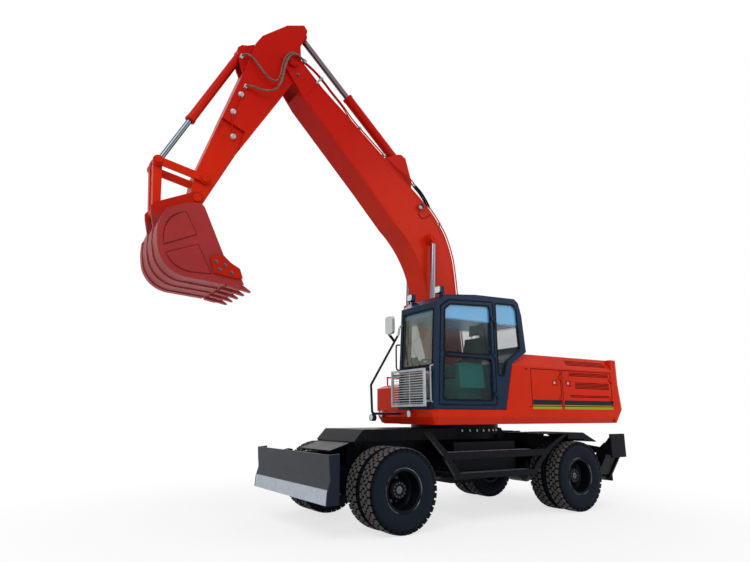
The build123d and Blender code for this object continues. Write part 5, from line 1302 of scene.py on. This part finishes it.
class EXCAVATOR_OT_bucket_fittings(bpy.types.Operator):
    """Bolt the side cutters on and pin the teeth"""

    bl_idname = "excavator.bucket_fittings"
    bl_label = "Bucket Bolts and Tooth Pins"

    def execute(self, context):
        mesh = bmesh.new()
        for side in (1, -1):
            for x, z in ((4.170, 3.330), (4.080, 3.240), (4.240, 3.260), (4.290, 3.360)):
                add_bolt(mesh, at(x, side * CUTTER_FACE, z), (0, side, 0), 0.019, 0.020)
        for number in range(5):
            y = (number - 2) * TOOTH_PITCH
            for side in (1, -1):
                inner, outer = (at(3.985, y + side * off, 3.085) for off in (0.045, 0.050))
                add_rod(mesh, inner, outer, 0.012)
        smooth(new_piece("bucket_bolts", mesh, "bucket", "pin_steel"))
        upper = ((4.705, 3.957), (4.554, 3.686), (4.935, 3.500), (4.944, 3.590), (4.940, 3.680),
                 (4.921, 3.770), (4.884, 3.845), (4.815, 3.905))
        lower = ((4.526, 3.553), (4.338, 3.201), (4.600, 3.195), (4.695, 3.218), (4.780, 3.255),
                 (4.845, 3.315), (4.900, 3.390))
        # Dark red seams round the raised side panels: weld seams, darkened as painted shade along
        # the panels' edges.
        mesh = bmesh.new()
        for side in (1, -1):
            for outline in (upper, lower):
                loop = [Vector(point) for point in outline]
                add_band(mesh, grown(loop, 0.008), grown(loop, -0.001),
                         lambda a, b, depth: at(a, side * (BUCKET_FACE + depth), b), -0.001,
                         0.0085)
        bmesh.ops.recalc_face_normals(mesh, faces=mesh.faces)
        new_piece("bucket_seams", mesh, "bucket", "seam_paint")
        return {"FINISHED"}


class EXCAVATOR_OT_seat(bpy.types.Operator):
    """Stuff the seat's cushion, back and headrest by cloth simulation, then sew their seams"""

    bl_idname = "excavator.seat"
    bl_label = "Operator's Seat"

    def execute(self, context):
        cushion = self.pad("seat_cushion",
                           ((0.318, 2.002), (0.782, 2.002), (0.782, 2.072), (0.740, 2.090),
                            (0.318, 2.090)), 0.222, 0.055, 0.014)
        back = self.pad("seat_back",
                        ((0.318, 2.120), (0.216, 2.628), (0.292, 2.646), (0.412, 2.120)),
                        0.202, 0.060, 0.014)
        rest = self.pad("seat_headrest",
                        ((0.228, 2.672), (0.214, 2.838), (0.258, 2.848), (0.278, 2.662)),
                        0.118, 0.030, 0.010)
        for piece, half, low, high in ((cushion, 0.165, (0.350, 2.120), (0.750, 2.120)),
                                       (back, 0.140, (0.430, 2.180), (0.330, 2.600))):
            self.seams(piece, half, low, high)
        for piece in (cushion, back, rest):
            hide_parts("seat")
        mesh = bmesh.new()
        for y in (SEAT_Y + 0.060, SEAT_Y - 0.060):
            add_rod(mesh, at(0.262, y, 2.620), at(0.246, y, 2.700), 0.007)
        new_piece("headrest_posts", mesh, "house", "pin_steel")
        return {"FINISHED"}

    def pad(self, name, outline, half, corner, cap):
        """One pad: a side view's outline drawn across, remeshed and blown up like a cushion."""
        mesh = bmesh.new()
        rings = [[mesh.verts.new(at(x, SEAT_Y + y, z)) for x, z in outline] for y in (-half, half)]
        mesh.faces.new(rings[0][::-1])
        mesh.faces.new(rings[1])
        for number in range(len(outline)):
            after = (number + 1) % len(outline)
            mesh.faces.new((rings[0][number], rings[0][after], rings[1][after], rings[1][number]))
        bmesh.ops.recalc_face_normals(mesh, faces=mesh.faces)
        sides = [edge for edge in mesh.edges
                 if abs(edge.verts[0].co.y - edge.verts[1].co.y) > half]
        bmesh.ops.bevel(mesh, geom=sides, offset=corner * 0.4, segments=4, affect="EDGES",
                        clamp_overlap=True, profile=0.5)
        ends = [edge for edge in mesh.edges if abs(edge.verts[0].co.y - edge.verts[1].co.y) < 1e-5]
        bmesh.ops.bevel(mesh, geom=ends, offset=corner * 0.35, segments=3, affect="EDGES",
                        clamp_overlap=True, profile=0.5)
        piece = new_piece(name, mesh, "house", "seat_cloth")
        remesh = piece.modifiers.new("remesh", "REMESH")
        remesh.mode = "VOXEL"
        remesh.voxel_size = 0.006
        self.apply(piece)
        self.stuff(piece, cap)
        subdivision = piece.modifiers.new("subdivision", "SUBSURF")
        subdivision.levels = 1
        self.apply(piece)
        smooth(piece, 80.0)
        return piece

    def apply(self, piece):
        """Bake a piece's modifiers into its mesh."""
        graph = bpy.context.evaluated_depsgraph_get()
        baked = bpy.data.meshes.new_from_object(piece.evaluated_get(graph))
        piece.modifiers.clear()
        piece.data = baked

    def stuff(self, piece, cap):
        """Blow the pad up with cloth, and hold each point within a cap of where it started."""
        start = [vertex.co.copy() for vertex in piece.data.vertices]
        cloth = piece.modifiers.new("stuffing", "CLOTH")
        cloth.settings.use_pressure = True
        cloth.settings.uniform_pressure_force = 4.0
        cloth.settings.effector_weights.gravity = 0.0
        cloth.settings.quality = 4
        scene = bpy.context.scene
        for number in range(1, 21):
            scene.frame_set(number)
        self.apply(piece)
        for vertex, was in zip(piece.data.vertices, start):
            step = vertex.co - was
            if step.length > cap:
                vertex.co = was + step.normalized() * cap
        scene.frame_set(1)

    def seams(self, piece, half, low, high):
        """Two long seams and two cross seams, sewn on the pad's face."""
        runs = [((low[0], y, low[1]), (high[0], y, high[1]))
                for y in (SEAT_Y + half, SEAT_Y - half)]
        for share in (0.22, 0.78):
            x, z = (low[k] + (high[k] - low[k]) * share for k in (0, 1))
            runs.append(((x, SEAT_Y - half, z), (x, SEAT_Y + half, z)))
        for number, (start, end) in enumerate(runs):
            points = []
            for step in range(9):
                spot = at(*start).lerp(at(*end), step / 8)
                points.append(piece.closest_point_on_mesh(spot)[1])
            name = f"{piece.name}_seam_{number + 1}"
            add_piece(name, tube_curve(name, points, 0.0022), "house", "seam_thread")


class EXCAVATOR_OT_stage(bpy.types.Operator):
    """Lay the floor, hang the lights and set the camera where the photograph was taken"""

    bl_idname = "excavator.stage"
    bl_label = "Stage, Lights and Camera"

    def execute(self, context):
        self.floor()
        self.lights(context)
        self.camera(context)
        return {"FINISHED"}

    def floor(self):
        """One white floor that shows white to the camera and still takes the shadow."""
        mesh = bmesh.new()
        bmesh.ops.create_grid(mesh, x_segments=1, y_segments=1, size=60.0)
        data = bpy.data.meshes.new("studio_floor")
        mesh.to_mesh(data)
        mesh.free()
        floor = bpy.data.objects.new("studio_floor", data)
        bpy.context.collection.objects.link(floor)
        finish = Finish("studio_white", (0.93, 0.93, 0.93, 1.0), 0.9)
        speckle = finish.noise(3.0)
        finish.feed("Roughness", speckle * 0.05 + 0.88)
        x, y, _ = finish.axes()
        away = (x * x + y * y).maths("SQRT")
        glow_share = away.node(
            "ShaderNodeMapRange", {"interpolation_type": "SMOOTHSTEP"}, Value=away,
            From_Min=2.5, From_Max=7.5, To_Min=0.72, To_Max=1.0)
        tree = finish.tree
        path, glow, mix = (tree.nodes.new(kind) for kind in (
            "ShaderNodeLightPath", "ShaderNodeEmission", "ShaderNodeMixShader"))
        seen = (Signal(tree, path.outputs["Is Camera Ray"]) * glow_share).maths(
            "MAXIMUM", Signal(tree, path.outputs["Is Glossy Ray"]))
        tree.links.new(seen.socket, mix.inputs[0])
        tree.links.new(finish.shader.outputs[0], mix.inputs[1])
        tree.links.new(glow.outputs[0], mix.inputs[2])
        tree.links.new(mix.outputs[0], tree.nodes["Material Output"].inputs[0])
        data.materials.append(finish.material)

    def lights(self, context):
        """Three soft panels and an even white surround."""
        for name, place, energy, size in (
                ("key_panel", (9.0, 8.0, 12.0), 800.0, 8.0),
                ("fill_panel", (-9.0, 9.0, 8.0), 350.0, 8.0),
                ("back_panel", (-4.0, -11.0, 10.0), 300.0, 8.0)):
            data = bpy.data.lights.new(name, "AREA")
            data.energy = energy
            data.size = size
            lamp = bpy.data.objects.new(name, data)
            lamp.location = place
            aim = Vector((0, 0, 2.5)) - lamp.location
            lamp.rotation_euler = aim.to_track_quat("-Z", "Y").to_euler()
            context.collection.objects.link(lamp)
        world = bpy.data.worlds.new("studio_surround")
        world.use_nodes = True
        tree = world.node_tree
        tree.nodes.clear()
        path = tree.nodes.new("ShaderNodeLightPath")
        even, white, mix, out = (tree.nodes.new(kind) for kind in (
            "ShaderNodeBackground", "ShaderNodeBackground", "ShaderNodeMixShader",
            "ShaderNodeOutputWorld"))
        even.inputs["Color"].default_value = (0.92, 0.95, 1.0, 1.0)
        even.inputs["Strength"].default_value = 0.6
        white.inputs["Color"].default_value = (1.0, 1.0, 1.0, 1.0)
        white.inputs["Strength"].default_value = 1.0
        seen = Signal(tree, path.outputs["Is Camera Ray"]).maths(
            "MAXIMUM", Signal(tree, path.outputs["Is Transmission Ray"])).maths(
            "MAXIMUM", Signal(tree, path.outputs["Is Glossy Ray"]))
        tree.links.new(seen.socket, mix.inputs[0])
        tree.links.new(even.outputs[0], mix.inputs[1])
        tree.links.new(white.outputs[0], mix.inputs[2])
        tree.links.new(mix.outputs[0], out.inputs[0])
        context.scene.world = world
        context.scene.view_settings.view_transform = "Standard"

    def camera(self, context):
        """A camera a little above the ground, ahead and to the left of the machine."""
        data = bpy.data.cameras.new("photo_camera")
        data.lens = 27.07
        data.sensor_width = 36.0
        camera = bpy.data.objects.new("photo_camera", data)
        camera.location = at(6.26284081, 7.48232082, 1.45275005)
        yaw, pitch = math.radians(-122.197775622), math.radians(13.4564765729)
        forward = Vector((math.cos(yaw) * math.cos(pitch), math.sin(yaw) * math.cos(pitch),
                          math.sin(pitch)))
        camera.rotation_euler = forward.to_track_quat("-Z", "Y").to_euler()
        context.collection.objects.link(camera)
        context.scene.camera = camera


class EXCAVATOR_PT_panel(bpy.types.Panel):
    """Lists the excavator's operators and settings"""

    bl_label = "Wheeled Excavator"
    bl_space_type = "VIEW_3D"
    bl_region_type = "UI"
    bl_category = "Excavator"

    def draw(self, context):
        for group in (context.scene.excavator_paint, context.scene.excavator_tyres):
            box = self.layout.box()
            for name in group.bl_rna.properties.keys():
                if name not in ("rna_type", "name"):
                    box.prop(group, name)
        for operator in OPERATORS:
            self.layout.operator(operator.bl_idname)


OPERATORS = (EXCAVATOR_OT_finishes, EXCAVATOR_OT_tyres, EXCAVATOR_OT_wheel_fittings,
             EXCAVATOR_OT_seat, EXCAVATOR_OT_window_seals, EXCAVATOR_OT_cab_fittings,
             EXCAVATOR_OT_lamps, EXCAVATOR_OT_house_fittings, EXCAVATOR_OT_carrier_fittings,
             EXCAVATOR_OT_arm_fittings, EXCAVATOR_OT_bucket_fittings, EXCAVATOR_OT_stage)
CLASSES = (ExcavatorPaint, ExcavatorTyres, *OPERATORS, EXCAVATOR_PT_panel)


def register():
    for one in CLASSES:
        bpy.utils.register_class(one)
    bpy.types.Scene.excavator_paint = bpy.props.PointerProperty(type=ExcavatorPaint)
    bpy.types.Scene.excavator_tyres = bpy.props.PointerProperty(type=ExcavatorTyres)


def unregister():
    del bpy.types.Scene.excavator_tyres
    del bpy.types.Scene.excavator_paint
    for one in reversed(CLASSES):
        bpy.utils.unregister_class(one)


def main():
    """Build every piece in order."""
    register()
    bpy.ops.excavator.finishes()
    bpy.ops.excavator.tyres()
    bpy.ops.excavator.wheel_fittings()
    bpy.ops.excavator.seat()
    bpy.ops.excavator.window_seals()
    bpy.ops.excavator.cab_fittings()
    bpy.ops.excavator.lamps()
    bpy.ops.excavator.house_fittings()
    bpy.ops.excavator.carrier_fittings()
    bpy.ops.excavator.arm_fittings()
    bpy.ops.excavator.bucket_fittings()
    bpy.ops.excavator.stage()


if __name__ == "__main__":
    main()
